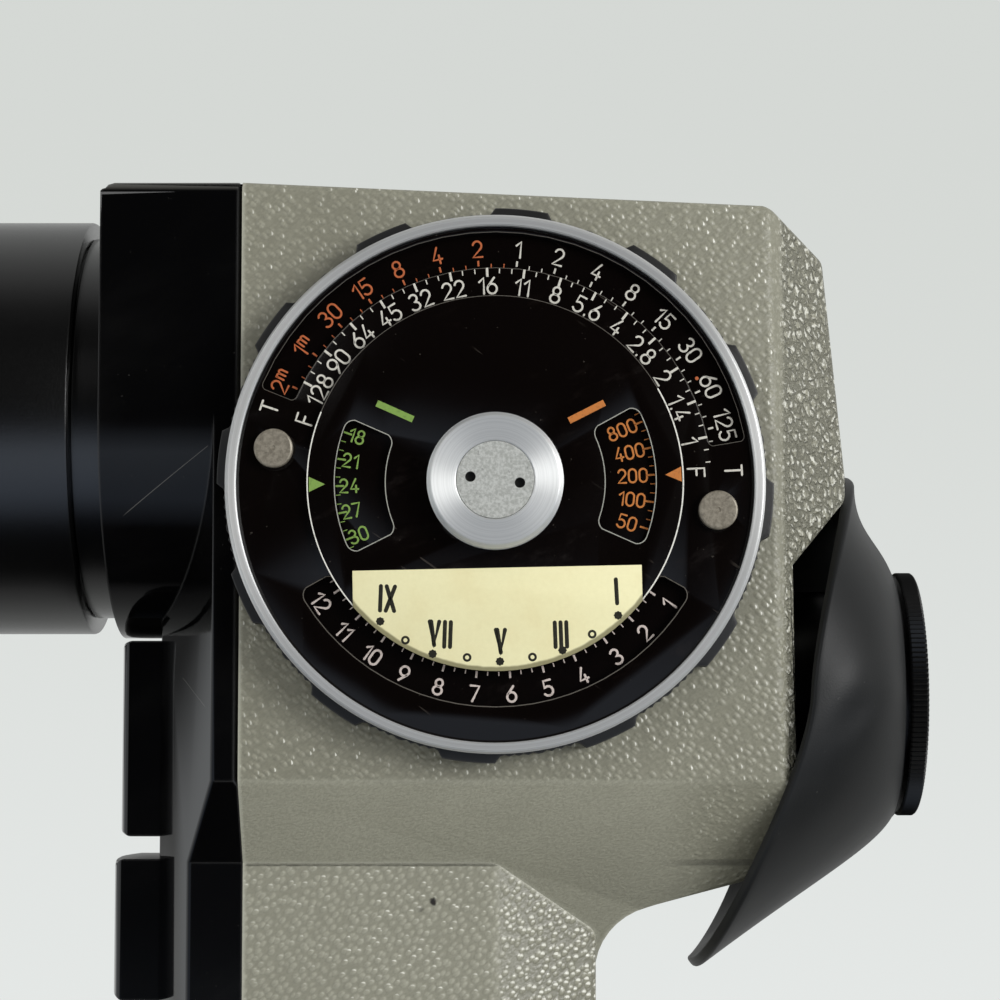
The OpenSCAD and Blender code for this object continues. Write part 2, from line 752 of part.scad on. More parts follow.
// Eyepiece.
eye_flange_x = rear_wall_x - wall;
tube_rear_x = diopter_rear_x - 1.6;
cup_neck_x0 = 64.5;
cup_neck_x1 = 69.9;
module eyepiece_tube() {
  color([0.06, 0.06, 0.06])
    difference() {
      union() {
        rod_x(eye_flange_x - 5, tube_rear_x, eye_tube_r, eye_z);
        rod_x(eye_flange_x - 2.4, eye_flange_x - 0.5, eye_tube_r + 2, eye_z);
      }
      rod_x(eye_flange_x - 6, tube_rear_x + 1, eye_bore_r, eye_z);
    }
}
knurls = 150;
knurl_h = 0.3;
module diopter_ring() {
  color([0.07, 0.07, 0.07])
    difference() {
      translate([cup_neck_x1 + 1.2, 0, eye_z]) rotate([0, 90, 0])
        linear_extrude(diopter_rear_x - cup_neck_x1 - 1.2)
          polygon([for (i = [0:2 * knurls - 1])
            (diopter_r - (i % 2) * knurl_h) * [cos(i * 180 / knurls), sin(i * 180 / knurls)]]);
      rod_x(cup_neck_x1, tube_rear_x + gap, eye_tube_r + fit, eye_z);
      rod_x(cup_neck_x1, diopter_rear_x + 1, 9, eye_z);
      translate([diopter_rear_x - 0.9, 0, eye_z]) rotate([0, 90, 0])
        cylinder(h = 1, r1 = 9, r2 = 12.6, $fn = medium);
    }
}
eye_cell_x0 = 58;
eye_cell_x1 = 69;
eye_stop_r = 9;
eye_lens_r = 10.4;
eye_seat_x = 64.95;
module eyepiece_cell() {
  color([0.08, 0.08, 0.08])
    difference() {
      rod_x(eye_cell_x0, eye_cell_x1, eye_bore_r - fit, eye_z, 0, medium);
      rod_x(eye_cell_x0 - 1, eye_cell_x1 + 1, eye_stop_r, eye_z, 0, medium);
      rod_x(eye_seat_x, eye_cell_x1 + 1, eye_lens_r + eps, eye_z, 0, medium);
    }
}
module eyepiece_lens() {
  color([0.5, 0.6, 0.75, 0.4]) element(eye_seat_x + 1.3, eye_lens_r, 2, 0.9, 0.6, eye_z);
}

// Rubber eyecup, folded forward over the rear of the body. Angle 0 faces the dial side
// and 90 degrees is up. A cubic curve runs from the neck over two guide points to the rim.
cup_sides = 40;
cup_rings = 10;
cup_neck_r = 16.9;
cup_root = [cup_neck_x1 + 0.4, cup_neck_r - 0.1];
cup_rim_side = [56.6, 30.3];
cup_rim_top_x = 64.9;
function rise(a) = max(0, sin(a));
function drop(a) = max(0, -sin(a));
function cup_rim(a) = [
  min(cup_rim_top_x, cup_rim_side[0] + 8.8 * pow(rise(a), 1.4)) - 13.3 * pow(drop(a), 1.6),
  cup_rim_side[1] - 0.6 * rise(a) + 7 * pow(drop(a), 1.25)
];
function cup_bow(a) = [69.4 - 0.9 * rise(a) - 1.4 * drop(a), 22.8 - 1.2 * rise(a) - 1.6 * drop(a)];
function cup_flare(a) = [
  65 - 0.2 * rise(a) - 6.2 * drop(a), 29 - 6.4 * pow(rise(a), 1.2) - 3.3 * pow(drop(a), 2)
];
function curve(p, q, r, s, t) = let (u = 1 - t)
  u * u * u * p + 3 * t * u * u * q + 3 * t * t * u * r + t * t * t * s;
function cup_point(a, t) = curve(cup_root, cup_bow(a), cup_flare(a), cup_rim(a), t);
function cup_normal(a, t) =
  let (d = cup_point(a, min(1, t + 0.02)) - cup_point(a, max(0, t - 0.02))) unit([d[1], -d[0]]);
function cup_wall(a, t) = cup_t * (1 - 0.4 * t);
function cup_skin(a, t, inner) =
  let (p = cup_point(a, t) - inner * cup_wall(a, t) * cup_normal(a, t))
  [p[0], -p[1] * cos(a), eye_z + p[1] * sin(a)];
// Outer skin from root to rim, then inner skin from rim to root, joined round the neck.
cup_points = [
  for (k = [0:2 * cup_rings + 1], i = [0:cup_sides - 1])
    let (a = i * 360 / cup_sides, inner = k > cup_rings ? 1 : 0,
      t = inner == 0 ? k / cup_rings : (2 * cup_rings + 1 - k) / cup_rings)
    cup_skin(a, t, inner)
];
cup_last = 2 * cup_rings + 2;
cup_faces = [
  for (k = [0:cup_last - 1], i = [0:cup_sides - 1])
    let (a = k * cup_sides + i, b = k * cup_sides + (i + 1) % cup_sides,
      k1 = (k + 1) % cup_last, c = k1 * cup_sides + (i + 1) % cup_sides, d = k1 * cup_sides + i)
    each [[a, c, b], [a, d, c]]
];
module eyecup() {
  color([0.12, 0.125, 0.13]) {
    polyhedron(points = cup_points, faces = cup_faces);
    tube_x(cup_neck_x0, cup_neck_x1 + 0.5, cup_neck_r, eye_tube_r + eps, eye_z, medium);
  }
}

// Triggers: curved finger pads with a flange behind the cover's wall.
pad_bow_r = 34;
flange_x0 = -cover_front + wall + 0.15;
flange_x1 = flange_x0 + 1.3;
function pad_front(out) = arc(-cover_front - out + pad_bow_r, 0, pad_bow_r,
  180 - asin(trigger_half_w / pad_bow_r), 180 + asin(trigger_half_w / pad_bow_r), 6);
module trigger(z0, z1, out) {
  extrude_z(concat(pad_front(out), [[flange_x1, -trigger_half_w], [flange_x1, trigger_half_w]]), z0, z1);
  block([flange_x0, flange_x1], [-trigger_half_w - 1.2, trigger_half_w + 1.2], [z0 - 1.1, z1 + 1.1]);
}
plunger_r = 1.4;
board_x0 = -16.6;
board_x1 = -15;
switch_x0 = flange_x1 + trigger_travel + 0.4;
board_rest_z = [60, 96];
plunger_z = [90, 64];
module plunger(z) {
  rod_x(flange_x1 + eps, board_x0 - 2 * gap - trigger_travel, plunger_r, z, 0, small);
}
module upper_trigger() {
  color([0.04, 0.04, 0.045]) trigger(trigger_up_z0, trigger_up_z1, trigger_up_out);
}
module lower_trigger() {
  color([0.04, 0.04, 0.045]) trigger(trigger_low_z0, trigger_low_z1, trigger_low_out);
}
module upper_plunger() {
  color([0.8, 0.8, 0.8]) plunger(plunger_z[0]);
}
module lower_plunger() {
  color([0.8, 0.8, 0.8]) plunger(plunger_z[1]);
}
module switch_board() {
  color([0.35, 0.45, 0.25]) block([board_x0, board_x1], [-16.5, 16.5], [56, 101]);
}
module switches() {
  color([0.1, 0.1, 0.12])
    for (z = plunger_z)
      difference() {
        block([switch_x0, board_x0 - eps], [-6.4, 6.4], [z - 3.4, z + 3.4]);
        rod_x(switch_x0 - 1, board_x0 - 0.1, plunger_r + fit, z, 0, small);
      }
}

// Optics between two side plates.
frame_in = body_half_w - 10;
frame_t = 1.6;
frame_out = frame_in + frame_t;
frame_x = [8, 47];
frame_z = [eye_z - 11.7, body_top_z - 5.1];
frame_cut = 12;
mirror_x = 28;
foot_at = [
  [frame_x[0] + 4.5, frame_z[1] - 5], [frame_x[1] - 5, lens_z - 13.2],
  [frame_x[0] + 4.5, frame_z[0] + 5.6], [frame_x[1] - 6, frame_z[0] + 6.1]
];
foot_r = 3;
side_hole_r = 9;
screen_x = [14, 42];
screen_z = lens_z - 21.2;
module optics_frame() {
  color([0.25, 0.25, 0.26]) {
    for (s = [-1, 1]) {
      difference() {
        extrude_y([[frame_x[0], frame_z[0]], [frame_x[1], frame_z[0]],
          [frame_x[1], frame_z[1] - frame_cut], [frame_x[1] - frame_cut, frame_z[1]],
          [frame_x[0], frame_z[1]]],
          s > 0 ? frame_in : -frame_out, s > 0 ? frame_out : -frame_in);
        rod_y(-frame_out - 1, frame_out + 1, side_hole_r, mirror_x - 6, eye_z, medium);
      }
      for (p = foot_at)
        rod_y(s > 0 ? frame_out : -body_half_w + wall + 0.05,
          s > 0 ? body_half_w - wall - 0.05 : -frame_out, foot_r, p[0], p[1]);
      block(screen_x, s > 0 ? [frame_in - 2, frame_in] : [-frame_in, -frame_in + 2],
        [screen_z - 1.8, screen_z - 0.05]);
    }
    block([-10, frame_x[1]], [-frame_in, frame_in], [frame_z[0], frame_z[0] + frame_t]);
    block([frame_x[0], frame_x[1] - frame_cut], [-frame_in, frame_in],
      [frame_z[1] - frame_t, frame_z[1]]);
    difference() {
      block([frame_x[1] - frame_t, frame_x[1]], [-frame_in, frame_in],
        [lens_z - 17.2, frame_z[1] - frame_cut]);
      rod_x(frame_x[1] - 3, frame_x[1] + 1, 6, lens_z, 0, medium);
    }
  }
}
mirror_len = 43;
mirror_t = 1.6;
screen_t = 1.5;
module main_mirror() {
  color([0.8, 0.85, 0.9])
    translate([mirror_x, 0, lens_z]) rotate([0, 45, 0])
      translate([-mirror_len / 2, -frame_in + 0.05, 0]) cube([mirror_len, 2 * frame_in - 0.1, mirror_t]);
}
module focusing_screen() {
  color([0.85, 0.88, 0.9])
    block(screen_x, [-frame_in + 0.05, frame_in - 0.05], [screen_z, screen_z + screen_t]);
}
prism_leg = 20;
prism_x0 = mirror_x - prism_leg / 2;
prism_z0 = eye_z - prism_leg / 2;
module lower_prism() {
  color([0.7, 0.8, 0.85, 0.5])
    extrude_y([[prism_x0, prism_z0 + prism_leg], [prism_x0 + prism_leg, prism_z0],
      [prism_x0 + prism_leg, prism_z0 + prism_leg]], -10, 10);
}
seat_z = frame_z[0] + frame_t + 0.02;
seat_gap = 0.1;
module prism_seat() {
  color([0.2, 0.2, 0.2])
    extrude_y([[prism_x0 - 3, seat_z], [prism_x0 + prism_leg - (seat_z - prism_z0) - seat_gap * 1.5, seat_z],
      [prism_x0 - seat_gap, prism_z0 + prism_leg - seat_gap / 2],
      [prism_x0 - 3, prism_z0 + prism_leg - seat_gap / 2]], -12, 12);
}
needle_z = eye_z + 12.2;
scale_x = [30, 40];
scale_z = [needle_z - 1.6, needle_z - 0.9];
scale_mark = [2.4, 0.6];
module scale_plate() {
  color([0.9, 0.9, 0.88])
    difference() {
      block(scale_x, [-frame_in + 0.05, frame_in - 0.05], scale_z);
      for (a = [-20:5:20])
        translate([meter_x, 0, scale_z[0] - 1]) rotate([0, 0, a])
          translate([scale_x[0] + 4, -scale_mark[1] / 2, 0]) cube([scale_mark[0], scale_mark[1], 3]);
    }
}
lamp_at = [43, 13];
lamp_r = 2;
lamp_base_z = eye_z + 0.4;
lamp_top_z = lamp_base_z + 6;
module scale_lamp() {
  color([0.9, 0.85, 0.6]) {
    rod_z(seat_z, lamp_base_z, lamp_r + 0.6, lamp_at[0], lamp_at[1]);
    rod_z(lamp_base_z, lamp_top_z, lamp_r, lamp_at[0], lamp_at[1]);
    translate([lamp_at[0], lamp_at[1], lamp_top_z]) sphere(r = lamp_r, $fn = small);
  }
}
cell_x = frame_x[1] + 0.05;
module cell_holder() {
  color([0.12, 0.12, 0.12]) tube_x(cell_x, cell_x + 6, 9, 6.6, lens_z, medium);
}
module photocell() {
  color([0.75, 0.45, 0.2]) rod_x(cell_x + 0.1, cell_x + 4.5, 6.5, lens_z, 0, medium);
}

// Meter movement: a yoke, and a coil whose needle sweeps under the screen.
meter_x = 0;
meter_r = 9.5;
core_r = 6.6;
yoke_top_z = needle_z - 2.8;
coil_z = [yoke_top_z - 10, yoke_top_z - 0.8];
coil_t = 1.4;
pivot_r = 0.5;
module meter_yoke() {
  color([0.4, 0.4, 0.42])
    difference() {
      rod_z(seat_z, yoke_top_z, meter_r, meter_x, 0, medium);
      rod_z(yoke_top_z - 11, yoke_top_z + 1, core_r, meter_x, 0, medium);
      rod_z(yoke_top_z - 14, yoke_top_z - 10, pivot_r + 0.1, meter_x, 0, small);
    }
}
module meter_coil() {
  color([0.7, 0.4, 0.2]) {
    difference() {
      rod_z(coil_z[0], coil_z[1], core_r - 0.6, meter_x, 0, medium);
      rod_z(coil_z[0] + coil_t, coil_z[1] - coil_t, core_r - 0.6 - coil_t, meter_x, 0, medium);
      for (s = [-1, 1]) block([meter_x - 7, meter_x + 7], s > 0 ? [1.6, 7] : [-7, -1.6],
        [coil_z[0] + coil_t, coil_z[1] - coil_t]);
    }
    rod_z(coil_z[0] - 3, coil_z[0], pivot_r, meter_x, 0, small);
    rod_z(coil_z[1], needle_z, pivot_r, meter_x, 0, small);
  }
}
module meter_needle() {
  color([0.7, 0.1, 0.05]) {
    rod_z(needle_z, needle_z + 0.5, 1.6, meter_x, 0, small);
    block([meter_x + 1, meter_x + 35], [-0.25, 0.25], [needle_z, needle_z + 0.4]);
    block([meter_x - 6, meter_x - 1], [-0.9, 0.9], [needle_z, needle_z + 0.5]);
  }
}

// Circuit board on the right side wall.
board_y0 = body_half_w - 6.4;
board_y1 = board_y0 + 1.6;
board_x = [-10, 37];
board_z = [lens_z - 38.2, lens_z + 14.8];
module circuit_board() {
  color([0.3, 0.42, 0.22])
    block(board_x, [board_y0, board_y1], board_z);
}
module chip(x, z, w, h) {
  block([board_x[0] + x, board_x[0] + x + w], [board_y0 - 1.6, board_y0 - eps],
    [board_z[0] + z, board_z[0] + z + h]);
}
module board_parts() {
  color([0.25, 0.25, 0.28]) {
    for (p = [[5, 19], [5, 29], [11, 10]])
      rod_y(board_y0 - 5, board_y0 - eps, 3, board_x[0] + p[0], board_z[0] + p[1]);
    for (i = [0:3]) chip(20 + 6.5 * i, 7, 4, 8);
    for (i = [0:2]) chip(22 + 8 * i, 33, 5, 5);
  }
}

left_housing();
right_housing();
front_cover();
base_plate();
housing_screws();
base_screws();
tripod_socket();
battery_cover();
battery();
battery_contacts();
lens_mount();
focus_ring();
lens_cell();
front_element();
rear_element();
lens_retainer();
dial_base();
grip_ring();
bezel();
time_disc();
window_disc();
dial_pins();
speed_mask();
dial_label();
dial_hub();
dial_spindle();
spring_washer();
eyepiece_tube();
diopter_ring();
eyepiece_cell();
eyepiece_lens();
eyecup();
upper_trigger();
upper_plunger();
lower_trigger();
lower_plunger();
switch_board();
switches();
optics_frame();
main_mirror();
focusing_screen();
lower_prism();
prism_seat();
scale_plate();
scale_lamp();
photocell();
cell_holder();
meter_yoke();
meter_coil();
meter_needle();
circuit_board();
board_parts();
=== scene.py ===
import math

import bmesh
import bpy
from mathutils import Matrix, Vector


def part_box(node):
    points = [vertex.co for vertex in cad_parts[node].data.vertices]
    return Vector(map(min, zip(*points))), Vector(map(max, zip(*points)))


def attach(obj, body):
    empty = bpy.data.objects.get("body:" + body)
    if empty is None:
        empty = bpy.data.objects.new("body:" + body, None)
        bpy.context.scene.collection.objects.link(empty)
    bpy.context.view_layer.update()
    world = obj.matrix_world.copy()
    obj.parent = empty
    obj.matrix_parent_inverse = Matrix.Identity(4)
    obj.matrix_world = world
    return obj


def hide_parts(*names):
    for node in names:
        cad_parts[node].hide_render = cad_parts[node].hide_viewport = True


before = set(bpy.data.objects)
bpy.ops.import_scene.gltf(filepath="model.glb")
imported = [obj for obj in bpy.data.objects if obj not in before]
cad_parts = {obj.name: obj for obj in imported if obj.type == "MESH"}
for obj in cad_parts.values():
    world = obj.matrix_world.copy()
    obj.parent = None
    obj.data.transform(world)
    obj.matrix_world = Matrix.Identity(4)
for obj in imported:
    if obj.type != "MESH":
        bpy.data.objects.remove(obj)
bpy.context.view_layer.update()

scene = bpy.context.scene
MM = 0.001

# Places taken from the frame, in metres.
face_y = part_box("left_housing")[0].y
hub_low, hub_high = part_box("dial_hub")
dial_x = (hub_low.x + hub_high.x) / 2
dial_z = (hub_low.z + hub_high.z) / 2
bezel_low, bezel_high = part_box("bezel")
bezel_r = (bezel_high.x - bezel_low.x) / 2
ring_low, ring_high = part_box("diopter_ring")
eye_z = (ring_low.z + ring_high.z) / 2
barrel_low, barrel_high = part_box("focus_ring")
lens_z = (barrel_low.z + barrel_high.z) / 2
seam_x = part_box("left_housing")[0].x
base_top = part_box("base_plate")[1].z
cover_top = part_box("front_cover")[1].z
mask_low, mask_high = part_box("speed_mask")
label_r = (mask_high.x - mask_low.x) / 2

# Where the finish of the housing changes, in millimetres: along X and up.
hood_start = 52.4
shoulder_foot = 72.6
fade_start, fade_end = 36, 46


# Working on meshes.
def deselect():
    if bpy.context.object and bpy.context.object.mode != "OBJECT":
        bpy.ops.object.mode_set(mode="OBJECT")
    bpy.ops.object.select_all(action="DESELECT")


def pick(piece):
    deselect()
    piece.select_set(True)
    bpy.context.view_layer.objects.active = piece
    return piece


def open_mesh(piece):
    pick(piece)
    bpy.ops.object.mode_set(mode="EDIT")
    bpy.ops.mesh.select_all(action="SELECT")


def close_mesh():
    bpy.ops.object.mode_set(mode="OBJECT")


def choose(piece, mode, test):
    """In edit mode, selects only the vertices, edges or faces for which test is true."""
    bpy.ops.mesh.select_mode(type=mode)
    bpy.ops.mesh.select_all(action="DESELECT")
    mesh = bmesh.from_edit_mesh(piece.data)
    parts = {"VERT": mesh.verts, "EDGE": mesh.edges, "FACE": mesh.faces}[mode]
    for part in parts:
        if test(part):
            part.select_set(True)
    mesh.select_flush_mode()
    bmesh.update_edit_mesh(piece.data)


def middle(edge):
    return (edge.verts[0].co + edge.verts[1].co) / 2


def finish_with(piece, kind, **settings):
    """Adds a modifier, sets it and applies it."""
    pick(piece)
    modifier = piece.modifiers.new(kind.lower(), kind)
    for name, value in settings.items():
        setattr(modifier, name, value)
    bpy.ops.object.modifier_apply(modifier=modifier.name)
    return piece


def smooth(piece, angle=30):
    pick(piece)
    bpy.ops.object.shade_smooth_by_angle(angle=math.radians(angle))
    return piece


def copy_of(node_name, piece_name, material):
    """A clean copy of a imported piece, with its doubled points merged and its flats made whole."""
    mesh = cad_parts[node_name].data.copy()
    piece = bpy.data.objects.new(piece_name, mesh)
    scene.collection.objects.link(piece)
    pick(piece)
    bpy.ops.mesh.customdata_custom_splitnormals_clear()
    open_mesh(piece)
    bpy.ops.mesh.remove_doubles(threshold=0.002 * MM)
    bpy.ops.mesh.dissolve_limited(angle_limit=math.radians(0.6))
    bpy.ops.mesh.faces_shade_flat()
    close_mesh()
    mesh.materials.clear()
    mesh.materials.append(material)
    return piece


def round_edges(piece, width, test, steps=3, sharper_than=24):
    """Rounds the sharp edges for which test is true."""
    limit = math.radians(sharper_than)
    open_mesh(piece)
    choose(piece, "EDGE", lambda e: len(e.link_faces) == 2 and e.calc_face_angle() > limit and test(e))
    bpy.ops.mesh.bevel(offset=width, offset_type="OFFSET", segments=steps, profile=0.5, clamp_overlap=False)
    close_mesh()
    return piece


def join(first, *others):
    """Makes the other pieces part of the first."""
    deselect()
    for piece in (first,) + others:
        piece.select_set(True)
    bpy.context.view_layer.objects.active = first
    bpy.ops.object.join()
    return first


def settle(piece, body, slot, *nodes):
    """Puts a finished piece on its body and in the place of the nodes that it stands for. The slot is not used."""
    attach(piece, body)
    if nodes:
        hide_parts(*nodes)
    return piece


# Working on materials.
class Nodes:
    """The shader nodes of a material or of the room, added one after another."""

    def __init__(self, owner, **sockets):
        """Uniform values, given as sockets, sit on the shader itself."""
        owner.use_nodes = True
        self.owner = owner
        self.tree = owner.node_tree
        self.surface(**sockets)

    def plug(self, socket, value):
        if isinstance(value, bpy.types.NodeSocket):
            self.tree.links.new(value, socket)
        else:
            socket.default_value = value + (1,) if socket.type == "RGBA" else value

    def node(self, kind, inputs=None, **settings):
        """Adds a node, sets its properties and plugs values or other nodes' outputs into it."""
        made = self.tree.nodes.new("ShaderNode" + kind)
        for name, value in settings.items():
            setattr(made, name, value)
        for key, value in (inputs or {}).items():
            self.plug(made.inputs[key], value)
        return made

    def place(self):
        """The object's own coordinates, in metres."""
        return self.node("TexCoord").outputs["Object"]

    def normal(self):
        return self.node("NewGeometry").outputs["Normal"]

    def noise(self, place, per_metre, detail=3, roughness=0.55):
        inputs = {"Vector": place, "Scale": per_metre, "Detail": detail, "Roughness": roughness}
        return self.node("TexNoise", inputs).outputs["Fac"]

    def between(self, value, low, high, out_low=0, out_high=1, soft=True):
        """Maps low..high of a value onto out_low..out_high."""
        inputs = {"Value": value, "From Min": low, "From Max": high, "To Min": out_low, "To Max": out_high}
        kind = "SMOOTHSTEP" if soft else "LINEAR"
        return self.node("MapRange", inputs, interpolation_type=kind).outputs["Result"]

    def spots(self, place, per_metre, low, high, detail=3, roughness=0.55):
        """0 to 1 where a noise rises from low to high: specks, stains or scuffs."""
        return self.between(self.noise(place, per_metre, detail, roughness), low, high)

    def math(self, operation, a, b=None):
        inputs = {0: a} if b is None else {0: a, 1: b}
        return self.node("Math", inputs, operation=operation).outputs["Value"]

    def vector(self, operation, a, b=None):
        """Vector arithmetic, in which a dot product and a length give a number."""
        inputs = {0: a} if b is None else {0: a, 1: b}
        output = "Value" if operation in ("DOT_PRODUCT", "LENGTH") else "Vector"
        return self.node("VectorMath", inputs, operation=operation).outputs[output]

    def times(self, *values):
        product = values[0]
        for value in values[1:]:
            product = self.math("MULTIPLY", product, value)
        return product

    def leave(self, value):
        """1 minus a value."""
        return self.math("SUBTRACT", 1, value)

    def blend(self, factor, a, b):
        """From colour a to colour b."""
        return self.node("Mix", {"Factor": factor, 6: a, 7: b}, data_type="RGBA").outputs[2]

    def over(self, colour, mask, share, other):
        """A share of another colour over the first, where the mask is 1."""
        return self.blend(self.times(mask, share), colour, other)

    def mix(self, factor, a, b):
        """From number a to number b."""
        return self.node("Mix", {"Factor": factor, 2: a, 3: b}, data_type="FLOAT").outputs[0]

    def parts(self, vector):
        return self.node("SeparateXYZ", {0: vector}).outputs

    def bump(self, height, strength, depth, base=None):
        inputs = {"Height": height, "Strength": strength, "Distance": depth}
        if base:
            inputs["Normal"] = base
        return self.node("Bump", inputs).outputs["Normal"]

    def near_edge(self, radius):
        """1 on a sharp outer or inner edge, 0 on the flats: how far the rounded normal leans."""
        soft_normal = self.node("Bevel", {"Radius": radius}, samples=6).outputs["Normal"]
        return self.between(self.vector("DOT_PRODUCT", soft_normal, self.normal()), 0.999, 0.93)

    def slanted(self, raw, degrees, stretch):
        """Coordinates turned in the side plane, then squeezed so that a pattern runs long one way."""
        inputs = {"Vector": raw, "Rotation": (0, math.radians(degrees), 0)}
        slant = self.node("Mapping", inputs, vector_type="POINT").outputs["Vector"]
        return self.vector("MULTIPLY", slant, (1 / stretch, 1, 1))

    def reach(self, raw, x, z):
        """How far a point of a side face lies from x, z, all in metres."""
        offset = self.vector("SUBTRACT", raw, (x, 0, z))
        return self.vector("LENGTH", self.vector("MULTIPLY", offset, (1, 0, 1)))

    def spot(self, raw, x, z, radius, ragged=0.6):
        """1 inside a ragged spot on a side face, placed in millimetres."""
        reach = self.reach(raw, x * MM, z * MM)
        rag = self.math("MULTIPLY", self.noise(raw, 1800), 2 * ragged * radius * MM)
        return self.between(self.math("ADD", reach, rag), radius * MM, 1.6 * radius * MM, 1, 0)

    def scratch(self, raw, a, b, width):
        """1 along a thin straight line on a side face from a to b, each given as x, z in millimetres."""
        ax, az, bx, bz = a[0] * MM, a[1] * MM, b[0] * MM, b[1] * MM
        length = math.hypot(bx - ax, bz - az)
        ux, uz = (bx - ax) / length, (bz - az) / length
        offset = self.vector("SUBTRACT", raw, (ax, 0, az))
        along = self.vector("DOT_PRODUCT", offset, (ux, 0, uz))
        across = self.vector("DOT_PRODUCT", offset, (-uz, 0, ux))
        line = self.between(self.math("ABSOLUTE", across), width * 0.3 * MM, width * MM, 1, 0)
        start = self.between(along, 0, 0.02 * length)
        end = self.between(along, 0.9 * length, length, 1, 0)
        return self.times(line, start, end)

    def rings_about(self, axis, centre, per_metre, along=0.3):
        """Fine uneven rings about a piece's axis, as a lathe tool leaves them."""
        parts = self.parts(self.vector("SUBTRACT", self.place(), centre))
        sides = {"X": (1, 2, 0), "Y": (0, 2, 1), "Z": (0, 1, 2)}[axis]
        squares = [self.math("POWER", parts[i], 2) for i in sides[:2]]
        radius = self.math("SQRT", self.math("ADD", squares[0], squares[1]))
        place = self.node("CombineXYZ", {0: radius, 2: self.math("MULTIPLY", parts[sides[2]], along)})
        return self.noise(place.outputs[0], per_metre, 4, 0.7)

    def surface(self, **links):
        """Plugs patterns into the shader's sockets and gives the material."""
        for socket, value in links.items():
            self.plug(self.tree.nodes["Principled BSDF"].inputs[socket.replace("_", " ")], value)
        return self.owner

    def coat(self, colour, rough, relief, strength, depth):
        """Gives the material its colour, its roughness and a fine relief."""
        return self.surface(Base_Color=colour, Roughness=rough, Normal=self.bump(relief, strength, depth))


def new_finish(name, **sockets):
    return Nodes(bpy.data.materials.new(name), **sockets)


HOUSING_GREY = (0.298, 0.293, 0.228)
HOUSING_DARK = (0.258, 0.253, 0.194)
HOUSING_MOTTLE = (0.18, 0.176, 0.132)
HOUSING_VALLEY_SHADE = (0.14, 0.137, 0.1)
HOUSING_PAINTED_LIGHT = (0.46, 0.457, 0.38)
HOUSING_CREASE_SHADE = (0.085, 0.084, 0.062)
GLINT = (0.84, 0.84, 0.76)
SCUFF = (0.018, 0.015, 0.012)
PEBBLES_PER_METRE = 1270
CUSHIONS_PER_METRE = 820


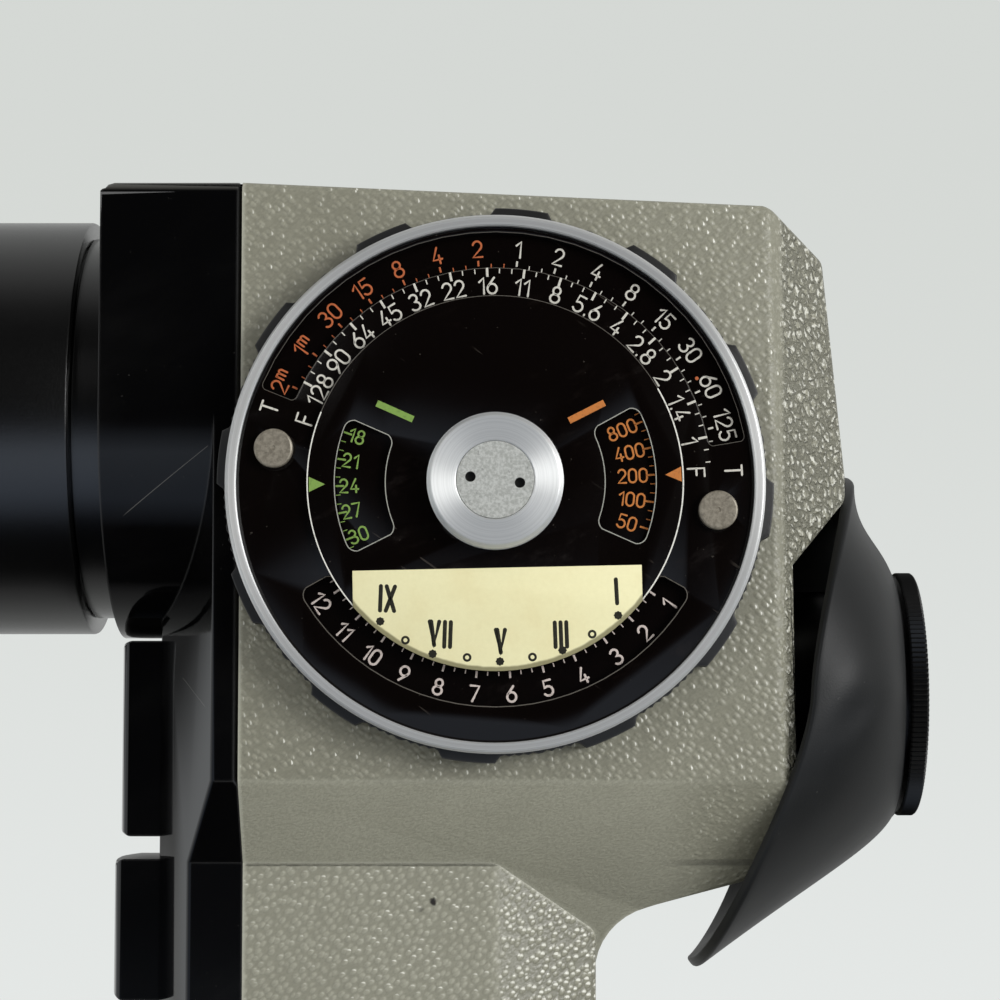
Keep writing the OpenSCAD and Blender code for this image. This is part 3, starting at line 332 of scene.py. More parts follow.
def leather_plastic():
    """Moulded grey plastic. The flats are pebbled, with a painted glint on the lit side of many pebbles and painted
    shade between them, the rear hood and the rear of the handle are deeply embossed, with painted shade in the
    hood's creases and painted highlights on its ridges, the shoulder has a fine grain, and the handle, the shoulder
    and the edges are painted paler as painted light."""
    f = new_finish("leather_grain_plastic", Specular_IOR_Level=0.5)
    raw = f.place()
    across, up = f.parts(raw)[0], f.parts(raw)[2]
    hood = f.between(across, (hood_start + 0.5) * MM, (hood_start + 1.4) * MM)
    facing = f.parts(f.normal())
    sloping = f.between(facing[2], -0.15, -0.35)
    far_rear = f.between(across, fade_start * MM, fade_end * MM, 1, 0.3)
    shoulder = f.times(sloping, far_rear)
    handle = f.between(up, (shoulder_foot + 0.5) * MM, (shoulder_foot - 0.5) * MM)
    handle_rear = f.times(handle, f.between(facing[0], 0.3, 0.5), f.leave(sloping))
    edge = f.near_edge(1 * MM)
    inside = f.leave(edge)
    plain = f.times(inside, f.leave(shoulder), f.leave(hood))

    # Pebbles of the flats, in rows that lean right on the body and left on the handle.
    leaning = {"Factor": handle, 4: f.slanted(raw, -38, 1.55), 5: f.slanted(raw, 40, 1.5)}
    rows = f.node("Mix", leaning, data_type="VECTOR").outputs[1]
    pebbles = f.node("TexVoronoi", {"Vector": rows, "Scale": PEBBLES_PER_METRE, "Randomness": 0.72}).outputs
    dome = f.between(pebbles["Distance"], 0.62, 0.05)
    chance = f.parts(pebbles["Color"])
    inward = f.vector("SUBTRACT", rows, pebbles["Position"])
    lit_side = f.vector("DOT_PRODUCT", inward, (0.86, 0, 0.5))
    # Painted glints: a pale crescent on the side of many pebbles that faces the light.
    crescent = f.times(f.between(lit_side, 0.1 * MM, 0.16 * MM), f.between(pebbles["Distance"], 0.4, 0.3))
    patchy = f.between(f.noise(raw, 70), 0.36, 0.62, 0.25, 1)
    lucky = f.math("ADD", chance[0], f.times(handle_rear, 0.55))
    glint = f.times(crescent, f.between(lucky, 0.42, 0.85), f.mix(handle_rear, patchy, 1), plain)
    # More painted glints on the rear of the handle.
    rear_glint = f.times(handle_rear, inside, f.between(lit_side, -0.02 * MM, 0.1 * MM),
                  f.between(pebbles["Distance"], 0.52, 0.34), f.between(chance[1], 0.1, 0.7, 0.35, 1))
    glint = f.math("MAXIMUM", glint, rear_glint)
    fine = f.noise(f.slanted(raw, 38, 2.2), 3600)

    # Embossed maze of the hood.
    drift = f.node("TexNoise", {"Vector": raw, "Scale": 900, "Detail": 2}).outputs["Color"]
    drift = f.node("VectorMath", {0: drift, "Scale": 0.0016}, operation="SCALE").outputs["Vector"]
    bent = f.vector("ADD", f.slanted(raw, -25, 1.5), drift)
    cells = f.node("TexVoronoi", {"Vector": bent, "Scale": CUSHIONS_PER_METRE}, feature="DISTANCE_TO_EDGE").outputs
    cushion = f.between(cells["Distance"], 0, 0.3)
    embossed = f.times(hood, inside)

    colour = f.blend(f.spots(raw, 55, 0.3, 0.7, 4), HOUSING_DARK, HOUSING_GREY)
    mottle = f.times(f.between(fine, 0.38, 0.62), f.mix(shoulder, 0.45, 0.55))
    colour = f.blend(mottle, colour, HOUSING_MOTTLE)
    # Painted light: the handle and the downward-facing shoulder are painted paler.
    colour = f.over(colour, f.math("MAXIMUM", handle, shoulder), 0.22, HOUSING_PAINTED_LIGHT)
    # Painted shade in the hollows between the pebbles.
    valley_shade = f.times(f.between(dome, 0.45, 0), plain, f.mix(handle_rear, 0.35, 0.75))
    colour = f.blend(valley_shade, colour, HOUSING_VALLEY_SHADE)
    # Painted shade in the creases of the hood's maze.
    crease_shade = f.times(embossed, f.between(cells["Distance"], 0.03, 0.12, 1, 0))
    colour = f.over(colour, crease_shade, 0.62, HOUSING_CREASE_SHADE)
    # Painted highlights on the hood's raised cells.
    ridge_highlight = f.times(embossed, f.between(cells["Distance"], 0.1, 0.22), f.spots(raw, 1500, 0.45, 0.62, 2))
    colour = f.over(colour, ridge_highlight, 0.62, GLINT)
    # The painted glints.
    colour = f.over(colour, glint, 0.85, GLINT)
    # Painted highlight along the edges.
    colour = f.over(colour, edge, 0.75, HOUSING_PAINTED_LIGHT)
    scuffs = f.math("MAXIMUM", f.spot(raw, 8.4, 67.6, 0.62), f.times(f.spot(raw, 6.9, 66.6, 0.7, 0.9), 0.5))
    colour = f.blend(scuffs, colour, SCUFF)

    rough = f.mix(fine, 0.36, 0.5)
    rough = f.mix(f.math("MAXIMUM", glint, handle_rear), rough, 0.24)
    rough = f.mix(edge, rough, 0.28)
    depth = f.mix(handle_rear, 0.75, 1.3)
    relief = f.math("ADD", f.times(dome, plain, depth), f.times(cushion, embossed, 2.6))
    grain = f.bump(relief, 1, 0.15 * MM)
    grain = f.bump(fine, f.mix(shoulder, 0.5, 1), 0.12 * MM, grain)
    return f.surface(Base_Color=colour, Roughness=rough, Normal=grain)


def gloss_black():
    """Polished black plastic with faint smears, two scratches and dust, paler on faces that look up as settled dust
    and a painted reflection, and with a painted highlight on its edges.
    """
    f = new_finish("gloss_black_plastic", Specular_IOR_Level=0.36)
    raw = f.place()
    dust = f.spots(raw, 1700, 0.735, 0.79, 2, 0.7)
    smear = f.spots(f.slanted(raw, 30, 3), 60, 0.5, 0.8, 5)
    edge = f.near_edge(0.5 * MM)
    colour = f.over((0.0016, 0.0016, 0.0018), dust, 0.3, (0.1, 0.095, 0.085))
    colour = f.over(colour, smear, 0.01, (0.35, 0.34, 0.32))
    # Faces that look up turn paler: settled dust and a painted reflection.
    top_dust_and_sheen = f.between(f.parts(f.normal())[2], 0.3, 0.7)
    colour = f.blend(top_dust_and_sheen, colour, (0.05, 0.049, 0.042))
    long_scratch = f.scratch(raw, (-20.3, 126), (-31.8, 117), 0.07)
    short_scratch = f.scratch(raw, (-24.5, 96.5), (-20.5, 92.5), 0.05)
    lines = f.math("MAXIMUM", long_scratch, short_scratch)
    colour = f.over(colour, lines, 0.3, (0.3, 0.29, 0.27))
    # Painted highlight along the edges.
    colour = f.over(colour, edge, 0.1, (0.3, 0.3, 0.3))
    rough = f.mix(top_dust_and_sheen, f.mix(smear, 0.05, 0.13), 0.4)
    rough = f.mix(f.times(dust, 0.7), rough, 0.5)
    return f.coat(colour, rough, f.noise(raw, 45, 1), 0.1, 0.25 * MM)


def painted_black(name, base, rough, grain_per_metre, grain_depth, grain_strength=0.6, edge_light=0.25, shine=0.42):
    """Black lacquer or anodising with a fine even grain, and paler edges that are partly rubbed paint and partly a
    painted highlight.
    """
    f = new_finish(name, Specular_IOR_Level=shine)
    raw = f.place()
    grain = f.noise(raw, grain_per_metre, 3, 0.6)
    patch = f.spots(raw, 55, 0.3, 0.7, 4)
    edge = f.near_edge(0.3 * MM)
    worn = (base * 3 + 0.05, base * 3 + 0.05, base * 3 + 0.046)
    colour = f.blend(patch, (base * 0.75,) * 3, (base * 1.25, base * 1.22, base * 1.18))
    # Paler edges: partly rubbed paint, partly a painted highlight.
    colour = f.over(colour, edge, edge_light, worn)
    return f.coat(colour, f.mix(grain, rough - 0.06, rough + 0.08), grain, grain_strength, grain_depth)


def dial_black():
    """Deep black dial paint, faintly brown, with specks of dust and hairline scuffs."""
    f = new_finish("dial_black_paint", Specular_IOR_Level=0.35)
    raw = f.place()
    specks = f.spots(raw, 1500, 0.735, 0.78, 2, 0.75)
    film = f.spots(f.slanted(raw, 25, 2.5), 150, 0.56, 0.8, 5, 0.75)
    hairs = f.times(f.spots(f.slanted(raw, -35, 14), 1500, 0.715, 0.74, 1), f.spots(raw, 90, 0.55, 0.65, 2))
    colour = f.over((0.0022, 0.0013, 0.0011), specks, 0.35, (0.1, 0.09, 0.075))
    colour = f.over(colour, film, 0.05, (0.12, 0.085, 0.07))
    colour = f.over(colour, hairs, 0.25, (0.14, 0.12, 0.1))
    return f.coat(colour, f.mix(film, 0.14, 0.3), f.noise(raw, 400, 2), 0.06, 0.04 * MM)


def darker(colour, share):
    return tuple(c * share for c in colour)


def turned_metal(name, axis, centre, light, dark, rough, per_metre, metal=0.6, grooves=0):
    """Metal turned on a lathe: fine rings about its own axis, small nicks, and gloss spread across the rings."""
    f = new_finish(name, Metallic=metal, Anisotropic=grooves, Anisotropic_Rotation=0.25, Specular_IOR_Level=0.6)
    raw = f.place()
    rings = f.rings_about(axis, centre, per_metre)
    nicks = f.spots(raw, 1900, 0.68, 0.76, 3, 0.8)
    colour = f.blend(f.between(rings, 0.3, 0.7), dark, light)
    colour = f.over(colour, nicks, 0.5, darker(dark, 0.35))
    rough = f.mix(rings, rough - 0.06, rough + 0.1)
    if grooves:
        f.surface(Tangent=f.node("Tangent", direction_type="RADIAL", axis=axis).outputs["Tangent"])
    return f.coat(colour, rough, rings, 0.15, 0.01 * MM)


def grainy_metal(name, light, dark, rough, per_metre, metal=0.4):
    """Blasted metal: an even fine grain with a few darker pits."""
    f = new_finish(name, Metallic=metal, Specular_IOR_Level=0.5)
    raw = f.place()
    grain = f.noise(raw, per_metre, 3, 0.7)
    pits = f.spots(raw, per_metre * 0.8, 0.62, 0.72, 2, 0.7)
    colour = f.blend(f.between(grain, 0.35, 0.65), dark, light)
    colour = f.over(colour, pits, 0.45, darker(dark, 0.4))
    return f.coat(colour, f.mix(grain, rough - 0.05, rough + 0.1), grain, 0.6, 0.02 * MM)


def cream_card():
    """Aged cream card: fibres, a warm stain, and a painted shadow along the inside of its curved edge."""
    f = new_finish("cream_card", Roughness=0.62, Specular_IOR_Level=0.3)
    raw = f.place()
    fibre = f.noise(raw, 1500, 4, 0.7)
    stain = f.spots(raw, 110, 0.45, 0.75, 5, 0.6)
    colour = f.blend(fibre, (0.74, 0.7, 0.415), (0.84, 0.8, 0.5))
    colour = f.over(colour, stain, 0.3, (0.66, 0.55, 0.27))
    reach = f.reach(raw, dial_x, dial_z)
    rag = f.times(f.noise(raw, 700), 0.25 * MM)
    # A painted shadow along the inside of the label's curved edge.
    rim_shadow = f.between(f.math("ADD", reach, rag), label_r - 0.55 * MM, label_r - 0.25 * MM)
    colour = f.over(colour, rim_shadow, 0.85, (0.17, 0.155, 0.075))
    return f.surface(Base_Color=colour, Normal=f.bump(fibre, 0.3, 0.02 * MM))


def mark_paint(name, colour, worn):
    """Scale paint, a little uneven where it has worn."""
    f = new_finish(name, Roughness=0.55, Specular_IOR_Level=0.3)
    wear = f.spots(f.place(), 2400, 0.52, 0.7, 3, 0.7)
    return f.surface(Base_Color=f.over(colour, wear, 0.6, worn), Normal=f.bump(wear, 0.2, 0.01 * MM))


def rubber():
    """Charcoal rubber with a dull bloom, a fine skin and pale dust."""
    f = new_finish("charcoal_rubber", Specular_IOR_Level=0.26, Sheen_Weight=0.05, Sheen_Roughness=0.4)
    raw = f.place()
    skin = f.noise(raw, 3800, 3, 0.6)
    bloom = f.spots(f.slanted(raw, 60, 1.6), 45, 0.3, 0.75, 5, 0.6)
    lint = f.spots(raw, 1500, 0.735, 0.79, 2, 0.8)
    colour = f.blend(bloom, (0.0078, 0.0084, 0.0086), (0.0155, 0.016, 0.016))
    colour = f.over(colour, lint, 0.3, (0.22, 0.22, 0.21))
    return f.coat(colour, f.mix(bloom, 0.46, 0.6), skin, 0.5, 0.03 * MM)


def speckled(name, light, dark, rough, per_metre, depth, metal=0, strength=0.5):
    """A plain finish: two tones and a fine grain."""
    f = new_finish(name, Metallic=metal)
    grain = f.noise(f.place(), per_metre, 4, 0.6)
    colour = f.blend(f.between(grain, 0.35, 0.65), dark, light)
    return f.coat(colour, f.mix(grain, rough - 0.08, rough + 0.08), grain, strength, depth)


def coated_glass(name, tint):
    """Ground glass with a faint coating and a trace of dust."""
    f = new_finish(name, Transmission_Weight=1, IOR=1.52, Coat_Weight=0.3, Coat_Tint=tint)
    dust = f.spots(f.place(), 1500, 0.55, 0.85, 3, 0.7)
    colour = f.blend(dust, (0.93, 0.96, 0.98), (0.8, 0.82, 0.84))
    return f.surface(Base_Color=colour, Roughness=f.mix(dust, 0.01, 0.12))


dial_axis = (dial_x, 0, dial_z)
leather = leather_plastic()
gloss = gloss_black()
barrel_black = painted_black("barrel_black", 0.0011, 0.23, 4200, 0.016 * MM, 0.7, 0.1, 1)
inner_black = painted_black("inner_black", 0.008, 0.55, 3000, 0.03 * MM)
grip_black = painted_black("grip_black", 0.009, 0.45, 3600, 0.03 * MM, edge_light=0.5)
eye_black = painted_black("eyepiece_black", 0.003, 0.3, 4200, 0.008 * MM, edge_light=0.04)
hole_shade_paint = painted_black("hole_shade_paint", 0.0008, 0.8, 3000, 0.02 * MM)
dial_paint = dial_black()
bright = turned_metal("turned_aluminium", "Y", dial_axis, (0.7, 0.71, 0.7), (0.58, 0.58, 0.57),
                      0.36, 5200, 0.6, 0.8)
polished = turned_metal("polished_aluminium", "Y", dial_axis, (0.92, 0.93, 0.92), (0.76, 0.77, 0.76),
                        0.5, 5200, 0.72, 0.84)
blasted = grainy_metal("blasted_aluminium", (0.6, 0.61, 0.58), (0.42, 0.43, 0.4), 0.5, 2600)
warm = grainy_metal("worn_nickel", (0.3, 0.27, 0.215), (0.19, 0.168, 0.13), 0.42, 1500, 0.3)
steel = speckled("zinced_steel", (0.55, 0.55, 0.56), (0.38, 0.38, 0.39), 0.34, 2400, 0.01 * MM, 1)
brass = turned_metal("turned_brass", "Z", (0, 0, 0), (0.62, 0.46, 0.2), (0.44, 0.31, 0.12), 0.28, 5200, 0.8)
card = cream_card()
rubber_skin = rubber()
white_paint = mark_paint("white_marks", (0.58, 0.56, 0.5), (0.26, 0.24, 0.21))
warm_paint = mark_paint("warm_white_marks", (0.6, 0.52, 0.48), (0.3, 0.24, 0.21))
window_highlight_paint = mark_paint("window_rim_highlights", (0.34, 0.34, 0.3), (0.12, 0.12, 0.1))
dim_paint = mark_paint("dim_lines", (0.095, 0.085, 0.07), (0.03, 0.025, 0.02))
mask_highlight_paint = mark_paint("mask_rim_highlights", (0.75, 0.74, 0.68), (0.28, 0.27, 0.22))
orange_paint = mark_paint("orange_marks", (0.46, 0.115, 0.035), (0.2, 0.05, 0.02))
amber_paint = mark_paint("amber_marks", (0.5, 0.17, 0.035), (0.26, 0.09, 0.025))
green_paint = mark_paint("green_marks", (0.19, 0.32, 0.065), (0.1, 0.16, 0.04))
ink = mark_paint("ink_marks", (0.014, 0.013, 0.007), (0.05, 0.045, 0.02))
lens_glass = coated_glass("lens_glass", (0.75, 0.72, 0.95))
prism_glass = coated_glass("prism_glass", (0.9, 0.95, 1))
mirror_coat = speckled("silvered_mirror", (0.88, 0.9, 0.9), (0.8, 0.83, 0.84), 0.1, 900, 0.002 * MM,
                       1, 0.1)
milky = speckled("ground_screen", (0.74, 0.75, 0.74), (0.62, 0.63, 0.62), 0.55, 5200, 0.01 * MM)
board = speckled("board_laminate", (0.1, 0.15, 0.055), (0.06, 0.1, 0.035), 0.45, 1400, 0.01 * MM)
battery_skin = speckled("battery_foil", (0.07, 0.075, 0.09), (0.045, 0.048, 0.06), 0.35, 700, 0.01 * MM)
magnet = speckled("magnet_steel", (0.24, 0.24, 0.26), (0.15, 0.15, 0.16), 0.42, 1800, 0.02 * MM, 1)
copper = speckled("copper_winding", (0.62, 0.3, 0.16), (0.42, 0.18, 0.09), 0.34, 4200, 0.02 * MM, 1)
needle_red = speckled("needle_lacquer", (0.42, 0.03, 0.02), (0.3, 0.02, 0.015), 0.4, 3000, 0.005 * MM)


# The casings: two housing halves, the front cover and the base plate.
def cut_on_plane(edge):
    """True where the halves, the cover and the plate meet, which stays sharp."""
    a, b = edge.verts[0].co, edge.verts[1].co
    on_middle = abs(a.y) < 0.2 * MM and abs(b.y) < 0.2 * MM
    on_seam = abs(a.x - seam_x) < 0.1 * MM and abs(b.x - seam_x) < 0.1 * MM
    on_base = abs(a.z - base_top) < 0.1 * MM and abs(b.z - base_top) < 0.1 * MM
    return on_middle or on_seam or on_base


def looks_away(edge, x):
    """True where both faces of an edge look away from an upright line through x."""
    centre = Vector((x, 0, middle(edge).z))
    return all(face.normal.dot(face.calc_center_median() - centre) > 0 for face in edge.link_faces)


def on_casing(x, shortest=2):
    """A test for the long outer edges of a casing, not those of holes, bosses or the inside."""
    def test(edge):
        length = (edge.verts[0].co - edge.verts[1].co).length
        return length > shortest * MM and edge.is_convex and not cut_on_plane(edge) and looks_away(edge, x)
    return test


shell_middle, cover_middle = 0.018, -0.022
cover_half_w = 0.0285


def at_top_rear_corner(vertex):
    """True for the two points that end the tiny edge of a half's top rear corner."""
    x, y, z = vertex.co / MM
    return x > 51.2 and abs(y) > 28.9 and z > 156.5


for side in ("left", "right"):
    shell = copy_of(side + "_housing", side + "_casting", leather)
    open_mesh(shell)
    choose(shell, "VERT", at_top_rear_corner)
    bpy.ops.mesh.merge(type="CENTER")
    close_mesh()
    round_edges(shell, 0.8 * MM, on_casing(shell_middle))
    smooth(shell)
    settle(shell, "body", "housing_paint", side + "_housing")


def on_cover_top(edge):
    """True for the edges round the cover's flat top, without its seam."""
    high = all(v.co.z > cover_top - 2 * MM for v in edge.verts)
    return (high and edge.is_convex and middle(edge).x < seam_x - 0.5 * MM
            and max(face.normal.z for face in edge.link_faces) > 0.7)


def on_cover_seam(edge):
    """True for the outer edges where the cover meets the housing."""
    at_seam = all(v.co.x > seam_x - 0.05 * MM for v in edge.verts)
    at_side = abs(middle(edge).y) > cover_half_w or middle(edge).z > cover_top - 0.6 * MM
    return at_seam and at_side and edge.is_convex and looks_away(edge, cover_middle)


cover = copy_of("front_cover", "lens_block_cover", gloss)
round_edges(cover, 1.7 * MM, on_cover_top, 3, 40)
round_edges(cover, 0.5 * MM, on_casing(cover_middle, 4))
round_edges(cover, 0.55 * MM, on_cover_seam, 1, 50)
smooth(cover)
settle(cover, "body", "gloss_black", "front_cover")

plate = copy_of("base_plate", "handle_base", grip_black)
round_edges(plate, 0.5 * MM, lambda e: looks_away(e, 0) and max(v.co.z for v in e.verts) < 0.1 * MM, sharper_than=60)
smooth(plate)
settle(plate, "body", "satin_black", "base_plate")

# Triggers, whose corners are soft on the part that stands out of the cover.
pad_reach, pad_half_w = 5.5 * MM, 9.2 * MM
for which, body in (("upper", "high_trigger"), ("lower", "low_trigger")):
    pad = copy_of(which + "_trigger", which + "_finger_pad", gloss)
    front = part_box(which + "_trigger")[0].x
    round_edges(pad, 0.9 * MM, lambda e: max(v.co.x for v in e.verts) < front + pad_reach
                and abs(middle(e).y) < pad_half_w, steps=5, sharper_than=40)
    smooth(pad, 35)
    settle(pad, body, "gloss_black", which + "_trigger")


# Turned pieces.
def lathe(name, profile, centre, axis, finish, steps=128):
    """Turns a closed outline of (radius, height) points, in millimetres, round an axis through centre.
    Heights count along +X for axis X, and out of the housing's side for axis Y."""
    out = {"X": Vector((1, 0, 0)), "Y": Vector((0, -1, 0))}[axis]
    side = {"X": Vector((0, 0, 1)), "Y": Vector((1, 0, 0))}[axis]
    centre = Vector(centre)
    mesh = bpy.data.meshes.new(name)
    points = [centre + (side * r + out * h) * MM for r, h in profile]
    mesh.from_pydata(points, [(i, (i + 1) % len(points)) for i in range(len(points))], [])
    piece = bpy.data.objects.new(name, mesh)
    scene.collection.objects.link(piece)
    open_mesh(piece)
    bpy.ops.mesh.spin(steps=steps, angle=math.tau, center=centre, axis=out)
    bpy.ops.mesh.select_all(action="SELECT")
    bpy.ops.mesh.remove_doubles(threshold=0.001 * MM)
    bpy.ops.mesh.normals_make_consistent(inside=False)
    close_mesh()
    mesh.materials.append(finish)
    return piece


dial_centre = (dial_x, face_y, dial_z)


def heights(name):
    """Lowest and highest point of a dial piece over the housing's side, in millimetres."""
    low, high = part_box(name)
    return (face_y - high.y) / MM, (face_y - low.y) / MM


rim = bezel_r / MM
rim_in = rim - 1.4
foot, top = heights("bezel")
bezel_ring = lathe("bezel_ring", [
    (rim_in, foot), (rim, foot), (rim, top - 0.42), (rim - 0.05, top - 0.34), (rim - 0.26, top - 0.12),
    (rim - 0.36, top - 0.08), (rim - 0.42, top), (rim_in + 0.16, top), (rim_in, top - 0.16)],
    dial_centre, "Y", bright, 192)
settle(smooth(bezel_ring, 20), "outer_dial", "bright_metal", "bezel")

# The hub: a polished ring round a blasted disc with two spanner holes, with painted shade at the bottom of each
# hole.
foot, top = heights("dial_hub")
hub_rim = (hub_high.x - hub_low.x) / 2 / MM
hub_bore = 3.97
disc_rim = 4.9
hub_ring = lathe("hub_ring", [
    (hub_bore, foot), (hub_rim, foot), (hub_rim, top - 0.85), (hub_rim - 0.06, top - 0.72),
    (hub_rim - 0.42, top - 0.12), (hub_rim - 0.6, top), (disc_rim + 0.14, top), (disc_rim, top - 0.12),
    (disc_rim, top - 1.1), (hub_bore, top - 1.2)], dial_centre, "Y", polished, 160)
settle(smooth(hub_ring, 18), "body", "bright_metal", "dial_hub")


AXIS = 0.001  # a radius so small that the turned skin closes on the axis
pit_ring = 3.1 * MM
pit_r = 0.65


def drill(piece, at, radius, depth):
    """Cuts a round hole into a face of the dial, straight in from outside."""
    pick(piece)
    bpy.ops.mesh.primitive_cylinder_add(vertices=32, radius=radius * MM, depth=2 * depth * MM, location=at,
                                        rotation=(math.radians(90), 0, 0))
    cutter = bpy.context.object
    finish_with(piece, "BOOLEAN", operation="DIFFERENCE", object=cutter, solver="EXACT")
    bpy.data.objects.remove(cutter)


hub_disc = lathe("hub_disc", [
    (AXIS, top - 1.15), (disc_rim - 0.05, top - 1.15), (disc_rim - 0.05, top - 0.15),
    (disc_rim - 0.13, top - 0.06), (AXIS, top - 0.06)], dial_centre, "Y", blasted, 96)
pits = []
for degrees in (173, -7):
    angle = math.radians(degrees)
    at = Vector((dial_x + pit_ring * math.cos(angle), face_y - top * MM, dial_z + pit_ring * math.sin(angle)))
    drill(hub_disc, at, pit_r + 0.01, 0.9)
    pits.append(at)
settle(smooth(hub_disc), "body", "bright_metal")
# A black disc at the bottom of each spanner hole: painted shade.
for i, at in enumerate(pits):
    pit = lathe("spanner_hole_shade_%d" % (i + 1), [(AXIS, -0.95), (pit_r, -0.95), (pit_r, -0.7), (AXIS, -0.7)],
                at, "Y", hole_shade_paint, 32)
    settle(pit, "body", "gloss_black")

# The two finger pins, each with a worn bead round its top and a small centre mark.
pins_low, pins_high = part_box("dial_pins")
foot, top = heights("dial_pins")
neck_top = foot + 0.85
pin_r = 2.45
pin_places = [Vector((pins_low.x + pin_r * MM, face_y, pins_high.z - pin_r * MM)),
              Vector((pins_high.x - pin_r * MM, face_y, pins_low.z + pin_r * MM))]
pin_heads = []
for i, at in enumerate(pin_places):
    pin_heads.append(lathe("finger_pin_%d" % (i + 1), [
        (AXIS, foot), (1, foot), (1, neck_top), (pin_r, neck_top), (pin_r, top - 0.25), (pin_r - 0.08, top - 0.1),
        (pin_r - 0.26, top), (0.32, top), (0.2, top - 0.12), (AXIS, top - 0.14)], at, "Y", warm, 64))
pins = join(*pin_heads)
pins.name = "finger_pins"
settle(smooth(pins, 20), "speed_plate", "bright_metal", "dial_pins")


# Dial plates and rings, as imported but with broken edges.
def eased(node_name, piece_name, finish, body, slot, width, test, steps=2, sharper_than=35, shade=30):
    """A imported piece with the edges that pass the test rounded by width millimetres."""
    piece = copy_of(node_name, piece_name, finish)
    round_edges(piece, width * MM, test, steps, sharper_than)
    smooth(piece, shade)
    return settle(piece, body, slot, node_name)


def above(height):
    """A test for the edges that lie at least so high over the housing's side, in millimetres."""
    return lambda e: all(v.co.y < face_y - height * MM for v in e.verts)


def beyond(radius, z, x=None):
    """A test for edges further than radius from an axis at z, which runs along Y at x, or along X."""
    return lambda e: math.hypot(middle(e).y if x is None else middle(e).x - x, middle(e).z - z) > radius


def both(one, other):
    return lambda e: one(e) and other(e)


# Heights of the painted surfaces over the housing's side, in millimetres.
time_h, window_h, mask_h, label_h, grip_h = (
    heights(name)[1] for name in ("time_disc", "window_disc", "speed_mask", "dial_label", "grip_ring"))
eased("speed_mask", "speed_plate_mask", dial_paint, "body", "dial_black", 0.12, above(mask_h - 0.05))
eased("window_disc", "window_plate", dial_paint, "speed_plate", "dial_black", 0.12, above(window_h - 0.05))
eased("grip_ring", "lobed_grip", grip_black, "outer_dial", "satin_black", 0.22,
      both(above(grip_h - 0.05), beyond(bezel_r, dial_z, dial_x)))
eased("dial_label", "zone_label", card, "body", "label_cream", 0.05, above(mask_h + 0.15))

# Barrel, front ring, eyepiece ring.
barrel_r = barrel_high.z - lens_z
front_bore_r = 23 * MM
ring_r = (ring_high.z - ring_low.z) / 2
on_barrel = beyond(barrel_r - 0.2 * MM, lens_z)
eased("focus_ring", "focusing_barrel", barrel_black, "focus_barrel", "satin_black", 0.35,
      lambda e: abs(middle(e).x - barrel_high.x) < 0.1 * MM or on_barrel(e), 2, 50)
eased("lens_cell", "front_ring", barrel_black, "lens_group", "satin_black", 0.3, beyond(front_bore_r, lens_z), 2, 50)
eased("diopter_ring", "knurled_eye_ring", eye_black, "diopter", "satin_black", 0.3,
      both(beyond(ring_r - 0.4 * MM, eye_z), lambda e: abs(e.verts[0].co.x - e.verts[1].co.x) < 0.1 * MM), 2, 50, 14)


# Eyecup: a soft flared cup, folded forward over the rear of the body. Angle 0 faces the dial
# side and 90 degrees is up, and t runs from the neck at 0 to the rim at 1.
neck_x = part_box("eyecup")[1].x / MM - 0.1
neck_r = 16.8


def bump_at(value, centre, width):
    return math.exp(-((value - centre) / width) ** 2)


def cup_outline(a, t):
    """Distance along X and radius of the cup's outer skin, in millimetres."""
    rise, drop = max(0, math.sin(a)), max(0, -math.sin(a))
    start = (neck_x, neck_r)
    bow = (neck_x - 0.9 - 0.9 * rise - 1.4 * drop, 22.8 - 1.2 * rise - 1.6 * drop)
    flare = (neck_x - 5.3 - 0.2 * rise - 6.2 * drop, 29 - 6.4 * rise ** 1.2 - 3.3 * drop ** 2)
    lip = (min(neck_x - 5.4, neck_x - 13.7 + 8.8 * rise ** 1.4) - 13.3 * drop ** 1.6,
           30.3 - 0.6 * rise + 7 * drop ** 1.25)
    u = 1 - t
    return [u ** 3 * start[i] + 3 * t * u * u * bow[i] + 3 * t * t * u * flare[i] + t ** 3 * lip[i] for i in (0, 1)]


def cup_skin(a, t):
    """A point of the outer skin, with the soft fold on both sides and the slack waves of the rim."""
    x, r = cup_outline(a, t)
    degrees = math.degrees(a) % 360
    for side, centre in ((1, -6), (-1, 186)):
        off = (degrees - centre + 180) % 360 - 180
        fold = off + side * 26 * (t - 0.75)
        r -= 0.42 * bump_at(fold, 0, 5.5) * bump_at(t, 0.7, 0.17)
        r += 0.22 * bump_at(fold, side * 11, 8) * bump_at(t, 0.72, 0.2)
    r += 0.28 * math.sin(5 * a + 0.6) * t ** 3 * (1 - max(0, math.sin(a)))
    # The cup sits a little twisted: its far side leans forward above and back below.
    if math.cos(a) < 0:
        if math.sin(a) > 0:
            x += 8 * math.cos(a) ** 3 * math.sin(a) * t * t
        else:
            x += 3.6 * math.sin(2 * a) * t * t
    return Vector((x * MM, -r * math.cos(a) * MM, eye_z + r * math.sin(a) * MM))


def sheet_of(name, rows, closed, finish):
    """A skin through rows of points, each row closed into a ring."""
    count = len(rows[0])
    faces = []
    for k in range(len(rows) - (0 if closed else 1)):
        for i in range(count):
            a, b = k * count + i, k * count + (i + 1) % count
            c, d = ((k + 1) % len(rows)) * count + (i + 1) % count, ((k + 1) % len(rows)) * count + i
            faces.append((a, b, c, d))
    mesh = bpy.data.meshes.new(name)
    mesh.from_pydata([p for row in rows for p in row], [], faces)
    piece = bpy.data.objects.new(name, mesh)
    scene.collection.objects.link(piece)
    open_mesh(piece)
    bpy.ops.mesh.normals_make_consistent(inside=False)
    close_mesh()
    mesh.materials.append(finish)
    return piece


CUP_AROUND, CUP_ALONG = 120, 26


